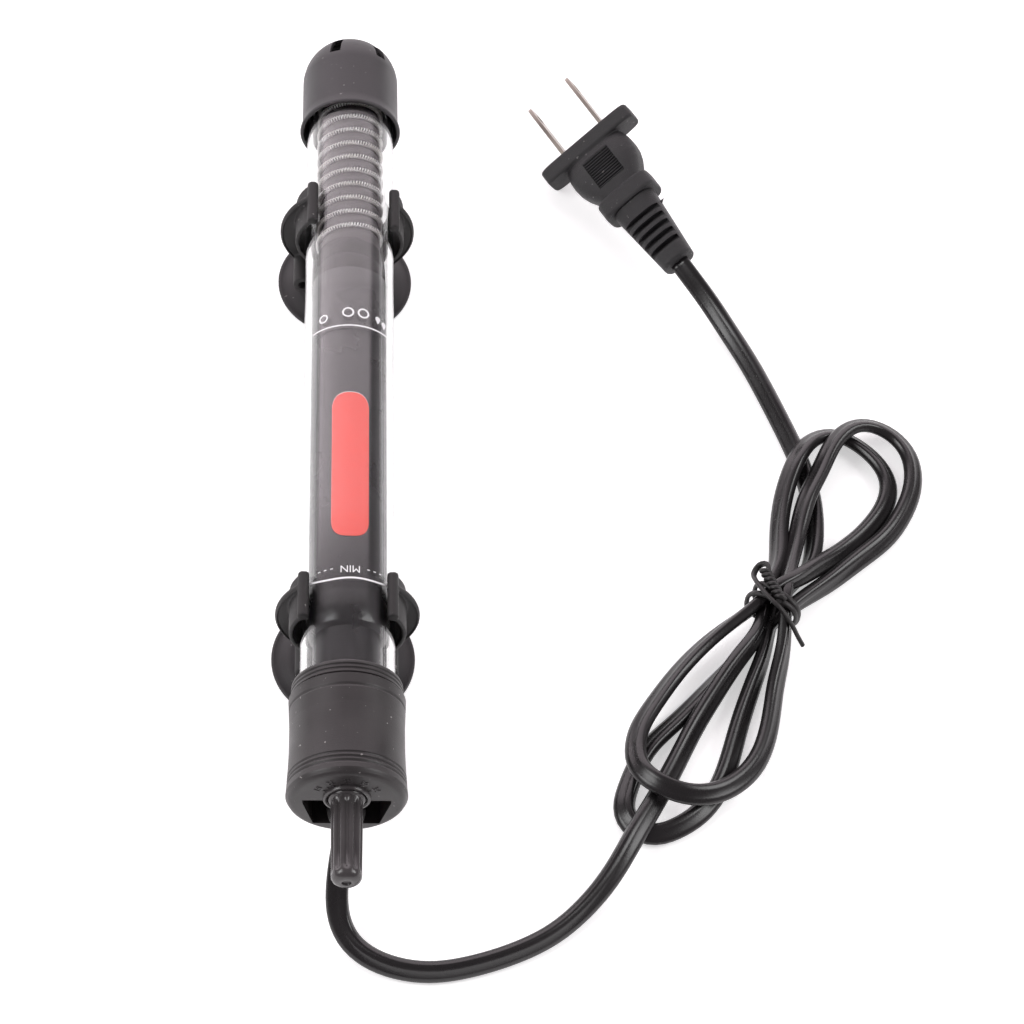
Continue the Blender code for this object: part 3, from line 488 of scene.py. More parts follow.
def strip_plate(outline, thick):
    """A flat plate in the XY plane, faced with strips, from an outline whose halves mirror each other."""
    bm = bmesh.new()
    shells = [[bm.verts.new((x, y, z)) for x, y in outline] for z in (0.0, thick)]
    join_rings(bm, *shells)
    count = len(outline)
    for ring in shells:
        for step in range(count // 2 - 1):
            bm.faces.new((ring[step], ring[step + 1], ring[count - 2 - step], ring[count - 1 - step]))
    return bm


def bent_round(bm, radius):
    """Lays a flat drawing in the XY plane round the tube, Z standing out of it."""
    for vert in bm.verts:
        across, along, out = vert.co
        vert.co = about_y(radius + out, along, across / radius)
    return bm


def ribbon(along_of, half_wide, radius):
    """A thin printed line round part of the tube. along_of gives its place for each turn."""
    turns = [radians(54) * (2 * step / 60 - 1) for step in range(61)]
    lower = [(turn * radius, along_of(turn) - half_wide) for turn in turns]
    upper = [(turn * radius, along_of(turn) + half_wide) for turn in reversed(turns)]
    return bent_round(strip_plate(lower + upper, 0.04), radius)


def lettering(words, size, thick, turn, at):
    """Words as a flat solid in the XY plane, in millimetres."""
    curve = bpy.data.curves.new("words", "FONT")
    curve.body = words
    curve.size = size
    curve.extrude = thick / 2
    curve.align_x = "CENTER"
    curve.align_y = "CENTER"
    curve.resolution_u = 3
    holder = bpy.data.objects.new("words", curve)
    bpy.context.scene.collection.objects.link(holder)
    bpy.context.view_layer.update()
    graph = bpy.context.evaluated_depsgraph_get()
    mesh = bpy.data.meshes.new_from_object(holder.evaluated_get(graph))
    bpy.data.objects.remove(holder, do_unlink=True)
    bm = bmesh.new()
    bm.from_mesh(mesh)
    bpy.data.meshes.remove(mesh)
    bm.transform(Matrix.Translation((at[0], at[1], 0)) @ Matrix.Rotation(turn, 4, "Z"))
    return bm


def flat_shape(outline, thick):
    """A flat solid in the XY plane from an (x, y) outline."""
    return lofted([[Vector((x, y, z)) for x, y in outline] for z in (0.0, thick)])


def drop_outline(at, size):
    """A water drop with its point towards the knob's end."""
    round_part = arc((at[0], at[1] + 0.2 * size), 0.5 * size, radians(-30), radians(210), 14)
    return round_part + [(at[0], at[1] - 0.85 * size)]


def add_print(name, bm):
    add_piece(name, bm, PRINT, place=ON_AXIS)


def make_prints():
    """The printed lines and generic marks on the glass. They read from the cap's end."""
    outside = GLASS_R + 0.02
    add_print("upper_line", ribbon(lambda turn: UPPER_LINE_Y, 0.22, outside))
    add_print("minimum_level_line", ribbon(lower_line, 0.24, outside))
    words = lettering("- - -  MIN  - - -", 2.7, 0.03, pi, (0.4, -46.5))
    add_print("minimum_level_words", bent_round(words, outside + 0.02))
    for index, place in enumerate(((7.4, 27.6), (9.4, 26.9))):
        drop = flat_shape(drop_outline(place, 1.5), 0.03)
        add_print(f"drop_mark_{index}", bent_round(drop, outside))
    for index, (centre, reach) in enumerate((((-0.4, 28.2), 1.5), ((3.4, 28.2), 1.5), ((-6.8, 27.4), 1.3))):
        edges = arc(centre, reach, 0, 2 * pi, 30) + arc(centre, reach - 0.48, 2 * pi, 0, 30)
        add_print(f"ring_mark_{index}", bent_round(strip_plate(edges, 0.03), outside))


def lower_line(turn):
    """Where the minimum level line runs, with the waver of a hand-laid print."""
    return LOWER_LINE_Y + 1.2 * turn * turn + 0.2 * cos(5.0 * turn - 0.5)


def make_cap():
    inner = CAP_R - CAP_WALL
    dome_y = cap_high.y - CAP_R
    back = cap_low.y + 2.2
    profile = [(0.0, cap_high.y)]
    profile += arc((0, dome_y), CAP_R, pi / 2, 0, 20)[1:]
    profile += [(CAP_R, back + 1.5), (CAP_R + 0.12, back), (CAP_RIM_R - 0.1, cap_low.y + 0.9)]
    profile += [(CAP_RIM_R, cap_low.y + 0.45), (CAP_RIM_R - 0.12, cap_low.y + 0.1)]
    profile += [(CAP_RIM_R - 0.35, cap_low.y), (CAP_RIM_R - 0.8, cap_low.y)]
    profile += [(CAP_RIM_R - 0.95, cap_low.y + 0.2), (inner, back)]
    profile += arc((0, dome_y), inner, 0, pi / 2, 14)[:-1]
    profile += [(0.0, dome_y + inner)]
    cap = add_piece("domed_cap", turned(profile, segments=120), CAP_PLASTIC,
                    ["guard_cap"], ON_AXIS)
    slots = bmesh.new()
    for step in range(CAP_SLOTS):
        turn = Matrix.Rotation(radians(360 / CAP_SLOTS * step - 20), 4, "Y")
        corners = [(-1.4, 4.0), (1.4, 4.0), (1.4, 14.0), (-1.4, 14.0)]
        lofted([[turn @ Vector((x, y, z)) for x, z in corners] for y in (dome_y + 1.8, dome_y + 8.8)], slots)
    cut(cap, slots, ON_AXIS)
    soften_edges(cap, 0.22)


def groove(along, centre, deep, half_wide):
    """How deep a round-bottomed groove is at this place."""
    reach = abs(along - centre) / half_wide
    return deep * cos(reach * pi / 2) if reach < 1 else 0.0


def head_radius(along):
    """The head's outside: a waisted barrel with three grooves near its face and one near its top."""
    share = (along - HEAD_FACE_Y) / (HEAD_TOP_Y - HEAD_FACE_Y)
    waist = 13.1 + 0.75 * max(0.0, 0.55 - share) ** 1.6 / 0.55**1.6
    waist += 0.3 * max(0.0, share - 0.72) / 0.28
    for centre in (-98.6, -97.5, -96.4):
        waist -= groove(along, centre, 0.26, 0.36)
    waist -= groove(along, HEAD_TOP_Y - 3.2, 0.22, 0.4)
    return min(waist, 13.72)


def make_head():
    bore = GLASS_R + FIT_GAP
    wall_y = RECESS_FLOOR_Y + 2.0
    profile = [(0.0, HEAD_FACE_Y), (6.0, HEAD_FACE_Y), (11.6, HEAD_FACE_Y)]
    profile += arc((11.9, HEAD_FACE_Y + 1.55), 1.55, -pi / 2, -0.25, 8)[1:]
    steps = 150
    first = HEAD_FACE_Y + 1.6
    for step in range(steps + 1):
        along = first + (HEAD_TOP_Y - 0.4 - first) * step / steps
        profile.append((head_radius(along), along))
    profile += [(13.15, HEAD_TOP_Y - 0.1), (12.9, HEAD_TOP_Y), (bore + 0.2, HEAD_TOP_Y)]
    profile += [(bore, HEAD_TOP_Y - 0.2), (bore, wall_y), (0.0, wall_y)]
    head = add_piece("head_shell", turned(profile, segments=128), PLASTIC,
                     ["head_cover"], ON_AXIS)
    past_face = HEAD_FACE_Y - 2
    recess = [(-9.9, 1.2), (-9.9, 0.0), (-7.5, -9.2), (7.5, -9.2), (9.9, 0.0), (9.9, 1.2)]
    cut(head, extruded_along_y(recess, past_face, RECESS_FLOOR_Y), ON_AXIS)
    cut(head, rod(1.6, past_face, wall_y + 2, 32), ON_SPINDLE)
    pocket_y = HEAD_FACE_Y + 1.5
    cut(head, rod(4.95, past_face, pocket_y + 0.3, 64), ON_SPINDLE)
    way_out = extruded_along_y(stadium(9.4, 5.2, (0, -5.9)), RECESS_FLOOR_Y - 1, wall_y + 2)
    cut(head, way_out, ON_AXIS)
    soften_edges(head, 0.2, 50)
    make_boss(pocket_y)
    make_dial()


def make_boss(pocket_y):
    """The glossy ring round the knob, standing on the recess's floor."""
    face = HEAD_FACE_Y - BOSS_PROUD
    inside = KNOB_RING_R + 0.3
    profile = [(1.66, RECESS_FLOOR_Y + 0.02), (5.4, RECESS_FLOOR_Y + 0.02), (5.4, face + 0.3)]
    profile += [(5.3, face + 0.08), (5.1, face), (inside + 0.2, face), (inside, face + 0.15)]
    profile += [(inside, pocket_y), (1.66, pocket_y)]
    add_piece("knob_boss", turned(profile, segments=80), GLOSSY, place=ON_SPINDLE)


def make_dial():
    """Raised temperature numbers and ticks in an arc on the face, round the knob."""
    radius = 7.25
    half_turn = 62
    for index, number in enumerate((34, 30, 26, 22, 18)):
        turn = radians(half_turn - 31 * index)
        bm = lettering(str(number), 2.0, 0.3, -turn, (radius * sin(turn), radius * cos(turn)))
        add_mark(f"dial_number_{number}", bm)
    for index in range(9):
        tick = box_mesh((-0.12, 5.5, 0.0), (0.12, 6.05, 0.16))
        tick.transform(Matrix.Rotation(-radians(half_turn - 15.5 * index), 4, "Z"))
        add_mark(f"dial_tick_{index}", tick)


def add_mark(name, bm):
    """Lays a flat drawing in the XY plane on the head's face, read from in front of the knob."""
    bm.transform(Matrix.Translation((0, HEAD_FACE_Y, 0)) @ Matrix.Rotation(pi / 2, 4, "X"))
    add_piece(name, bm, GLOSSY, place=ON_SPINDLE)


def make_collar():
    """The grooved ring that closes the head round the glass."""
    bore = GLASS_R + FIT_GAP
    first, last = collar_low.y, collar_high.y
    profile = [(bore, first), (12.8, first), (12.95, first + 0.15)]
    steps = 40
    for step in range(steps + 1):
        along = first + 0.2 + (last - 0.6 - first - 0.2) * step / steps
        cut = groove(along, first + 1.0, 0.3, 0.35) + groove(along, first + 2.1, 0.3, 0.35)
        profile.append((12.95 - 0.18 * step / steps - cut, along))
    profile += [(12.6, last - 0.2), (12.3, last), (bore + 0.15, last), (bore, last - 0.15)]
    add_piece("grooved_collar", turned(profile, segments=128), PLASTIC,
              ["seal_collar"], ON_AXIS)


def make_knob():
    """A long knob with deep flutes, a plain ring in the boss, a round end and a small hollow in it."""
    tip = knob_low.y
    root = HEAD_FACE_Y + 1.2
    count = 160
    shape = [(1.7, 0.0, HEAD_FACE_Y - 9), (1.7, 0.0, root), (KNOB_RING_R, 0.0, root)]
    shape += [(KNOB_RING_R, 0.0, HEAD_FACE_Y - 0.9), (KNOB_RING_R - 0.2, 0.0, HEAD_FACE_Y - 1.1)]
    shape += [(KNOB_R, 0.0, HEAD_FACE_Y - 1.2), (KNOB_R, 0.1, HEAD_FACE_Y - 1.5)]
    shape += [(KNOB_R, 0.62, HEAD_FACE_Y - 2.4)]
    flutes_start, flutes_end = HEAD_FACE_Y - 2.8, tip + 3.4
    for step in range(5):
        shape.append((KNOB_R - 0.04 * step, 0.62, flutes_start + (flutes_end - flutes_start) * step / 4))
    shape += [(KNOB_R - 0.14, 0.35, tip + 2.7), (KNOB_R - 0.12, 0.0, tip + 2.1)]
    shape += [(KNOB_R - 0.2, 0.0, tip + 1.3), (KNOB_R - 0.55, 0.0, tip + 0.6)]
    shape += [(KNOB_R - 1.2, 0.0, tip + 0.12), (KNOB_R - 1.9, 0.0, tip)]
    shape += [(1.1, 0.0, tip + 0.05), (0.9, 0.0, tip + 0.5), (0.4, 0.0, tip + 0.6)]
    rings = []
    for radius, deep, along in shape:
        ring = []
        for step in range(count):
            angle = 2 * pi * step / count
            hollow = deep * (0.5 + 0.5 * cos(KNOB_FLUTES * angle)) ** 1.4
            ring.append(about_y(radius - hollow, along, angle))
        rings.append(ring)
    add_piece("fluted_knob", lofted(rings), GLOSSY, ["temperature_knob"], ON_SPINDLE, 50,
              "knob")


# Inside the glass.


def make_sleeve():
    """The printed sleeve, drawn in at its near end to a long dark neck."""
    first, last = sleeve_low.y, sleeve_high.y
    inner = PRINTED_R - 0.4
    neck_r = NECK_BORE_R + 0.3
    profile = [(NECK_BORE_R, NECK_END_Y), (neck_r, NECK_END_Y), (neck_r, first - 0.9)]
    profile += [(PRINTED_R - 0.15, first - 0.1), (PRINTED_R, first + 0.15)]
    profile += [(PRINTED_R, first + (last - first) * step / 20) for step in range(1, 20)]
    profile += [(PRINTED_R, last - 0.1), (PRINTED_R - 0.05, last), (inner, last), (inner, first + 0.3)]
    profile += [(NECK_BORE_R, first - 0.6)]
    add_piece("printed_sleeve", turned(profile), SLEEVE, ["inner_sleeve"], ON_AXIS)


def bar_sections(half_wide, first, last, radius, thick):
    """Sections of a round-cornered bar that is bent round the tube, from one end to the other."""
    angles = [pi / 2 * (step + 0.25) / 16.25 for step in range(17)]
    ends = [(half_wide * (1 - cos(a)), half_wide * sin(a) ** 0.7) for a in angles]
    rows = [(first + along, half) for along, half in ends]
    rows += [(last - along, half) for along, half in reversed(ends)]
    sections = []
    for along, half in rows:
        turns = [half / radius * (step / 12 - 1) for step in range(25)]
        section = [about_y(radius + thick, along, turn) for turn in turns]
        sections.append(section + [about_y(radius, along, turn) for turn in reversed(turns)])
    return sections


def make_red_bar():
    """The red bar, with a thin white edge showing at its far end. Its red print carries a painted glow."""
    low, high = box_mm("signal_window")
    lean = Matrix.Rotation(radians(1.9), 4, "Y")
    edge = lofted(bar_sections(4.3, low.y - 0.3, high.y - 0.5, PRINTED_R + 0.06, 0.1))
    edge.transform(lean)
    add_piece("bar_white_edge", edge, PRINT, place=ON_AXIS)
    bm = lofted(bar_sections(4.26, low.y - 0.5, high.y - 0.82, PRINTED_R + 0.18, 0.14))
    bm.transform(lean)
    add_piece("red_bar", bm, RED_PRINT_WITH_PAINTED_GLOW, ["signal_window"], ON_AXIS, 50)


def make_former():
    """The grey core: a plain collar, then a body with a round groove that follows the wire's helix."""
    count = 96
    near, far = former_low.y, former_high.y
    outside = FORMER_COLLAR_R
    collar = [(1.2, near), (outside - 0.3, near), (outside, near + 0.4), (outside, 49.0)]
    collar += [(outside - 0.25, 49.3), (outside, 49.6), (outside, 53.4)]
    collar += [(outside - 0.5, ELEMENT_START_Y), (1.2, ELEMENT_START_Y)]
    add_piece("former_collar", turned(collar), COLLAR, place=ON_AXIS)
    rings = [ring_of(radius, ELEMENT_START_Y + 0.02, count) for radius in (1.2, outside - 0.6)]
    along = ELEMENT_START_Y + 0.4
    while along < far - 0.5:
        ring = []
        for step in range(count):
            phase = 2 * pi * ((along - COIL_CREST_Y) / COIL_PITCH - step / count)
            swell = 0.5 - 0.5 * cos(phase)
            ring.append(about_y(COIL_R - 0.95 + 0.85 * swell**0.7, along, 2 * pi * (step / count)))
        rings.append(ring)
        along += 0.28
    for along, radius in ((far - 0.3, FORMER_R), (far, FORMER_R - 0.3), (far, 1.2)):
        rings.append(ring_of(radius, along, count))
    bm = bmesh.new()
    loops = [[bm.verts.new(point) for point in ring] for ring in rings]
    for first, second in zip(loops, loops[1:] + loops[:1]):
        join_rings(bm, first, second)
    add_piece("grooved_former", bm, CERAMIC, ["element_former"], ON_AXIS)


def make_coil():
    """Fine resistance wire, close-coiled, and that coil wound round the former."""
    small = 0.52
    length = COIL_TURNS * hypot(2 * pi * COIL_R, COIL_PITCH)
    steps_a_loop = 7
    steps = round(length / 0.68) * steps_a_loop
    points, ways = [], []
    for step in range(steps + 1):
        turns = COIL_TURNS * step / steps
        spin = 2 * pi * step / steps_a_loop
        out = about_y(1.0, 0.0, pi + 2 * pi * turns)
        middle = out * COIL_R + Vector((0, COIL_CREST_Y + COIL_PITCH * (turns - 0.5), 0))
        points.append(middle + out * small * cos(spin) + Vector((0, small * sin(spin), 0)))
        ways.append(out)
    bm = swept(points, circle(0.19, 4), ways)
    add_piece("coiled_element", bm, ALLOY, ["heating_wire"], ON_AXIS, 180)


# The two holders.


def clip_outline(thick):
    """The C of the clip, or of the opening inside it when thick is 0, as (x, z)."""
    points = []
    for step in range(61):
        angle = CLIP_OPENING + (2 * pi - 2 * CLIP_OPENING) * step / 60
        radius = GLASS_R + FIT_GAP + CLIP_BULGE * sin(angle) ** 2 + thick
        points.append((radius * sin(angle), radius * cos(angle)))
    return points


def flange_arcs(radius, top_angle, steps):
    """The flange's two free arcs as (x, z), each between its open top and the channel."""
    low_angle = acos((FLANGE_DROP - CHANNEL_DROP) / FLANGE_R)
    arcs = []
    for start, end in ((top_angle, low_angle), (2 * pi - low_angle, 2 * pi - top_angle)):
        angles = [start + (end - start) * step / steps for step in range(steps + 1)]
        arcs.append([(radius * sin(angle), -FLANGE_DROP + radius * cos(angle)) for angle in angles])
    return arcs


def flange_outline():
    """The flange: a disc centred below the tube's axis, open at the top and round the tube."""
    right, left = flange_arcs(FLANGE_R, radians(42), 48)
    return right + left + list(reversed(clip_outline(0.3)))


def make_clip(name, body, node, turn, arms_at):
    """A rubber clip: an open sleeve with a long bead on each arm, a rimmed flange and a hollow channel."""
    place = ON_AXIS @ Matrix.Translation((0, middle_of(node).y, 0)) @ Matrix.Rotation(turn, 4, "Y")
    near, far = arms_at - CLIP_HALF_LONG, arms_at + CLIP_HALF_LONG
    bm = extruded_along_y(clip_outline(CLIP_WALL) + list(reversed(clip_outline(0.0))), near, far)
    extruded_along_y(flange_outline(), -0.6, 0.6, bm)
    reach = GLASS_R + FIT_GAP + BEAD_R
    for side in (-1, 1):
        middle = (side * reach * sin(CLIP_OPENING), reach * cos(CLIP_OPENING))
        extruded_along_y(arc(middle, BEAD_R, 0, 2 * pi, 28)[:-1], near, far, bm)
    channel = stadium(*CHANNEL_OUTSIDE, (0, -CHANNEL_DROP))
    extruded_along_y(channel, -CHANNEL_HALF_LONG, CHANNEL_HALF_LONG, bm)
    box_mesh((-6, near, -14.2), (6, far, -11.8), bm)
    clip = add_piece(name, bm, RUBBER, [node], place, body=body)
    mould(clip, 0.26, 3)
    past = 2 * CHANNEL_HALF_LONG
    cut(clip, extruded_along_y(stadium(*CHANNEL_INSIDE, (0, -CHANNEL_DROP)), -past, past), place)
    cut(clip, box_mesh((-4, -past, -CHANNEL_DROP - 5), (4, past, -CHANNEL_DROP)), place)
    resharpen(clip)
    raise_flange_rim(f"{name}_rim", body, place)


def raise_flange_rim(name, body, place):
    """The thin raised edge round the flange's two free arcs."""
    bm = bmesh.new()
    section = [(0.42 * x, 0.85 * y) for x, y in circle(1.0, 14)]
    for free_arc in flange_arcs(FLANGE_R - 0.45, radians(43), 40):
        outward = [(x, 0.0, z + FLANGE_DROP) for x, z in free_arc]
        swept([(x, 0.0, z) for x, z in free_arc], section, outward, bm)
    add_piece(name, bm, RUBBER, place=place, body=body)


def make_cup(name, body, node, turn):
    """A suction cup, hollow underneath, with a thin rim and a mushroom head in the clip's channel."""
    low, high = box_mm(node)
    centre = (low + high) / 2
    radius = (high.x - low.x) / 2
    head_low = AXIS_Z - CHANNEL_DROP - 1.1
    profile = [(0.0, 1.6), (3.0, 1.58), (6.0, 1.42), (9.0, 1.1), (12.0, 0.72), (14.5, 0.3)]
    profile += [(radius - 0.9, 0.0), (radius - 0.15, 0.0), (radius, 0.12), (radius, 0.5)]
    profile += [(radius - 0.15, 0.64), (radius - 0.7, 0.7), (radius - 1.1, 0.6), (14.8, 1.0)]
    profile += [(13.4, 1.3), (12.6, 1.62), (12.2, 1.62), (11.4, 1.72)]
    profile += [(9.5, 2.1), (7.4, 2.65), (6.9, 2.85), (5.0, 2.95), (3.4, 3.0), (2.7, 3.15)]
    profile += [(CUP_NECK_R, 3.5), (CUP_NECK_R, head_low), (4.4, head_low), (4.6, head_low + 0.2)]
    profile += [(4.6, head_low + 0.8), (4.2, head_low + 1.1), (2.0, head_low + 1.35), (0.0, head_low + 1.4)]
    bm = turned(profile, about_z, 112)
    pivot = Vector((0, 0, head_low))
    lean = Matrix.Rotation(turn, 3, "Y")
    for vert in bm.verts:
        if vert.co.z >= head_low - 0.05:
            vert.co = pivot + lean @ (vert.co - pivot)
    place = Matrix.Translation((centre.x, centre.y, 0))
    add_piece(name, bm, CUP_RUBBER, [node], place, 50, body)


# The cord, its tie and its plug.

# Where the cord's middle passes, as (x, y, z, lean), in millimetres and degrees. Lean is how far the cord's
# wide side leans from upright towards the left of its way: 90 lies flat.
FROM_HEATER = [
    (0.0, -103.3, 17.1, 90), (-0.5, -107.3, 16.6, 90), (-1.4, -112.0, 13.8, 88), (-2.0, -116.5, 9.2, 76),
    (-1.6, -121.3, 5.0, 56), (1.2, -126.5, 2.7, 40), (8.0, -131.4, 2.5, 32), (19.0, -133.6, 2.5, 28),
    (33.0, -130.6, 2.5, 28), (46.0, -124.6, 2.5, 30), (55.0, -116.6, 2.9, 38), (61.0, -109.2, 4.5, 48),
]
RISE_TO_TIE = [
    (66.3, -100.0, 6.0, 58), (71.0, -91.6, 4.9, 58), (74.0, -85.6, 3.6, 50), (78.0, -77.6, 2.9, 42),
    (82.0, -69.6, 3.2, 38), (87.0, -61.6, 4.6, 34), (93.0, -52.6, 6.2, 26), (98.6, -45.0, 6.2, 14),
]
FIRST_UPPER_LOOP = [
    (105.0, -23.6, 2.9, -30), (106.0, -13.6, 2.4, -40), (108.0, -2.6, 3.4, -48), (112.0, 7.4, 5.8, -52),
    (117.0, 14.4, 3.6, -50), (123.0, 16.4, 2.4, -48), (129.0, 12.4, 2.2, -48), (133.0, 7.4, 2.2, -48),
    (135.0, 1.4, 2.2, -48), (133.2, -5.6, 2.3, -46), (127.4, -13.8, 2.5, -42), (120.2, -20.6, 3.4, -36),
    (113.2, -26.4, 5.8, -24), (108.2, -31.2, 7.8, -8),
]
FIRST_LOWER_LOOP = [
    (98.0, -38.6, 7.4, 12), (88.0, -45.6, 5.2, 34), (80.0, -53.6, 4.2, 42), (73.0, -63.6, 4.6, 48),
    (68.0, -72.6, 5.6, 52), (67.0, -79.6, 6.4, 55), (68.0, -84.6, 7.6, 57), (72.0, -88.6, 9.0, 58),
    (78.0, -90.6, 7.8, 57), (85.0, -89.6, 6.2, 54), (92.0, -84.6, 4.2, 50), (97.0, -77.6, 2.9, 46),
    (100.0, -68.6, 2.4, 42), (102.0, -57.6, 3.0, 36), (104.4, -48.6, 5.2, 22),
]
SECOND_UPPER_LOOP = [
    (107.0, -27.6, 5.4, -22), (110.0, -16.6, 3.6, -38), (113.0, -5.6, 5.6, -46), (117.0, 2.4, 5.2, -50),
    (121.0, 11.4, 5.8, -50), (126.0, 16.4, 6.2, -50), (131.0, 18.4, 4.0, -50), (137.0, 16.4, 2.6, -50),
    (141.0, 10.4, 2.2, -50), (141.0, 1.4, 2.2, -50), (138.0, -6.6, 2.2, -48), (133.0, -14.6, 2.3, -44),
    (125.0, -21.6, 2.4, -38), (117.0, -28.6, 2.6, -26),
]
SECOND_LOWER_LOOP = [
    (96.0, -47.6, 2.6, 26), (88.0, -56.6, 2.3, 40), (79.0, -66.6, 2.2, 50), (70.0, -75.6, 2.1, 56),
    (66.0, -84.6, 2.0, 60), (64.0, -90.6, 2.0, 60), (65.0, -95.6, 2.0, 60), (70.0, -98.6, 2.0, 60),
    (76.0, -96.6, 2.0, 60), (82.0, -92.6, 2.0, 60), (87.0, -85.6, 2.0, 58), (90.0, -77.6, 2.1, 50),
    (93.0, -67.6, 2.2, 42), (97.0, -56.6, 2.4, 32), (100.0, -48.6, 2.7, 18),
]
TO_PLUG = [
    (112.0, -25.6, 2.6, -20), (114.0, -20.6, 2.4, -34), (115.0, -12.6, 2.2, -44), (115.0, -3.6, 2.2, -48),
    (113.4, 5.4, 2.2, -48), (110.8, 14.4, 2.2, -48), (107.0, 25.5, 2.2, -48), (102.5, 37.6, 2.2, -47),
    (97.4, 48.4, 2.6, -46), (92.0, 57.4, 4.9, -48), (85.75, 65.1, 8.4, -54), (85.0, 66.3, 8.7, -56),
]


def at_tie(across, along, height):
    """A place near the tie: across the bundle to its lower right, along it to the upper loops, and up."""
    forward = Vector((cos(BUNDLE_ANGLE), sin(BUNDLE_ANGLE), 0))
    side = Vector((sin(BUNDLE_ANGLE), -cos(BUNDLE_ANGLE), 0))
    return Vector((*TIE_AT, height)) + side * across + forward * along


def through_tie(across, height):
    """The cord's knot where the tie holds it, on edge."""
    return [(*at_tie(across, 0.0, height), 0)]


def cord_section():
    """The flat twin cord across its length: two round cores side by side, with a groove between them."""
    outline = []
    for x, y in circle(1.0, 32):
        across = CORD_WIDE / 2 * squared(x, 0.7)
        up = CORD_THICK / 2 * squared(y, 0.55)
        outline.append((across, up * (1 - 0.2 * exp(-(across / 0.42) ** 2))))
    return outline


def make_cord():
    low, high = 3.4, 8.2
    knots = FROM_HEATER + RISE_TO_TIE + through_tie(-3.3, low) + FIRST_UPPER_LOOP + through_tie(-1.6, high)
    knots += FIRST_LOWER_LOOP + through_tie(1.7, high) + SECOND_UPPER_LOOP + through_tie(3.4, low)
    knots += SECOND_LOWER_LOOP + through_tie(0.0, low) + TO_PLUG
    rows = eased(resampled(knots, 1.8), 7)
    ways = []
    for index, row in enumerate(rows):
        forward = rows[min(index + 1, len(rows) - 1)] - rows[max(index - 1, 0)]
        left = Vector((-forward[1], forward[0], 0)).normalized()
        lean = radians(row[3])
        ways.append(left * sin(lean) + Vector((0, 0, 1)) * cos(lean))
    bm = swept(rows, cord_section(), ways)
    cord = add_piece("flat_cord", bm, VINYL,
                     ["cord_heater_run", "cord_hank", "cord_plug_run"], sharp=180)


def make_tie():
    """A flat black wire twice round the bundle, twisted together at its upper left, with one long tail."""
    wire = [(0.8 * x, 0.55 * y) for x, y in circle(1.0, 14)]
    bm = bmesh.new()
    for along, tilt, shift in ((-2.2, -0.12, 0.0), (-4.6, 0.10, -0.2)):
        points = []
        ways = []
        for step in range(61):
            angle = 2 * pi * step / 60 * 0.97 + radians(95)
            across = 6.3 * squared(cos(angle), 0.8) + 0.6 + shift
            height = 6.0 + 5.3 * squared(sin(angle), 0.75)
            points.append(at_tie(across, along + tilt * across, height))
            ways.append(at_tie(0, 1, 0) - at_tie(0, 0, 0))
        swept(points, wire, ways, bm)
    twist_start, twist_end = at_tie(-5.4, 1.6, 10.8), at_tie(2.4, -4.6, 12.1)
    axis = (twist_end - twist_start).normalized()
    up = Vector((0, 0, 1))
    side = axis.cross(up).normalized()
    for half_turn in (0.0, pi):
        points = []
        for step in range(91):
            share = step / 90
            angle = half_turn + 2 * pi * 3.5 * share
            sway = side * cos(angle) + up * sin(angle)
            points.append(twist_start + (twist_end - twist_start) * share + sway * 0.72)
        swept(points, circle(0.68, 10), None, bm)
    end_loop = [(-3.6, 0.8, 11.2), (-5.6, 3.4, 10.8), (-7.4, 3.2, 9.2), (-7.4, 0.4, 8.8), (-5.0, -2.8, 11.2)]
    tail = [(-1.0, -5.4, 12.3), (3.2, -6.7, 12.0), (7.0, -7.4, 9.0), (9.4, -7.9, 6.2), (11.2, -8.2, 4.2)]
    swept(resampled([tuple(at_tie(*point)) for point in end_loop + tail], 0.8), wire, None, bm)
    add_piece("twisted_tie", bm, TIE_VINYL, ["twist_tie"], sharp=60)


def plug_place():
    pitch, roll, yaw = PLUG_TURN
    turn = Matrix.Rotation(yaw, 4, "Z") @ Matrix.Rotation(pitch, 4, "X") @ Matrix.Rotation(roll, 4, "Y")
    return Matrix.Translation(PLUG_AT) @ turn


def dense_sections(rows, power, spacing=0.45):
    """Sections along Y from (half_wide, half_tall, along) rows, with straight sides between the rows."""
    sections = []
    for start, end in zip(rows, rows[1:]):
        steps = max(1, round(abs(end[2] - start[2]) / spacing))
        for step in range(steps):
            values = [a + (b - a) * (step / steps) for a, b in zip(start, end)]
            sections.append(rounded_section(*values, power))
    return sections + [rounded_section(*rows[-1], power)]


def make_plug_body():
    """The moulded body: a flange plate, two lobes, a ribbed grip panel on each face, a neck and a collar."""
    place = plug_place()
    flange = [(13.9, 3.4, 0.5), (14.3, 3.8, 0.2), (14.4, 3.9, -0.3), (14.4, 3.9, -3.4), (14.1, 3.6, -4.0)]
    bm = lofted(dense_sections(flange, 7.0))
    lobes = [(8.6, 3.2, -3.6), (9.3, 4.0, -5.2), (9.8, 4.7, -7.2), (9.9, 5.1, -9.5), (9.7, 5.2, -11.5)]
    lobes += [(9.0, 5.1, -13.6), (7.9, 4.9, -15.6), (6.7, 4.7, -17.4), (6.4, 4.6, -18.0), (6.4, 4.6, -18.8)]
    lofted(dense_sections(lobes, 3.4), bm)
    collar = [(7.6, 4.9, -18.6), (8.1, 5.3, -19.0), (8.1, 5.3, -22.9), (7.7, 5.0, -23.5)]
    lofted(dense_sections(collar, 4.5), bm)
    body = add_piece("moulded_plug", bm, PLUG_VINYL, ["plug_body"], place)
    mould(body, 0.2, 4)
    for side in (1, -1):
        low, high = sorted((side * 4.15, side * 6.5))
        cut(body, box_mesh((-4.1, -15.6, low), (4.1, -6.4, high)), place)
    resharpen(body)
    make_grip(place)
    make_flash_nub(place)


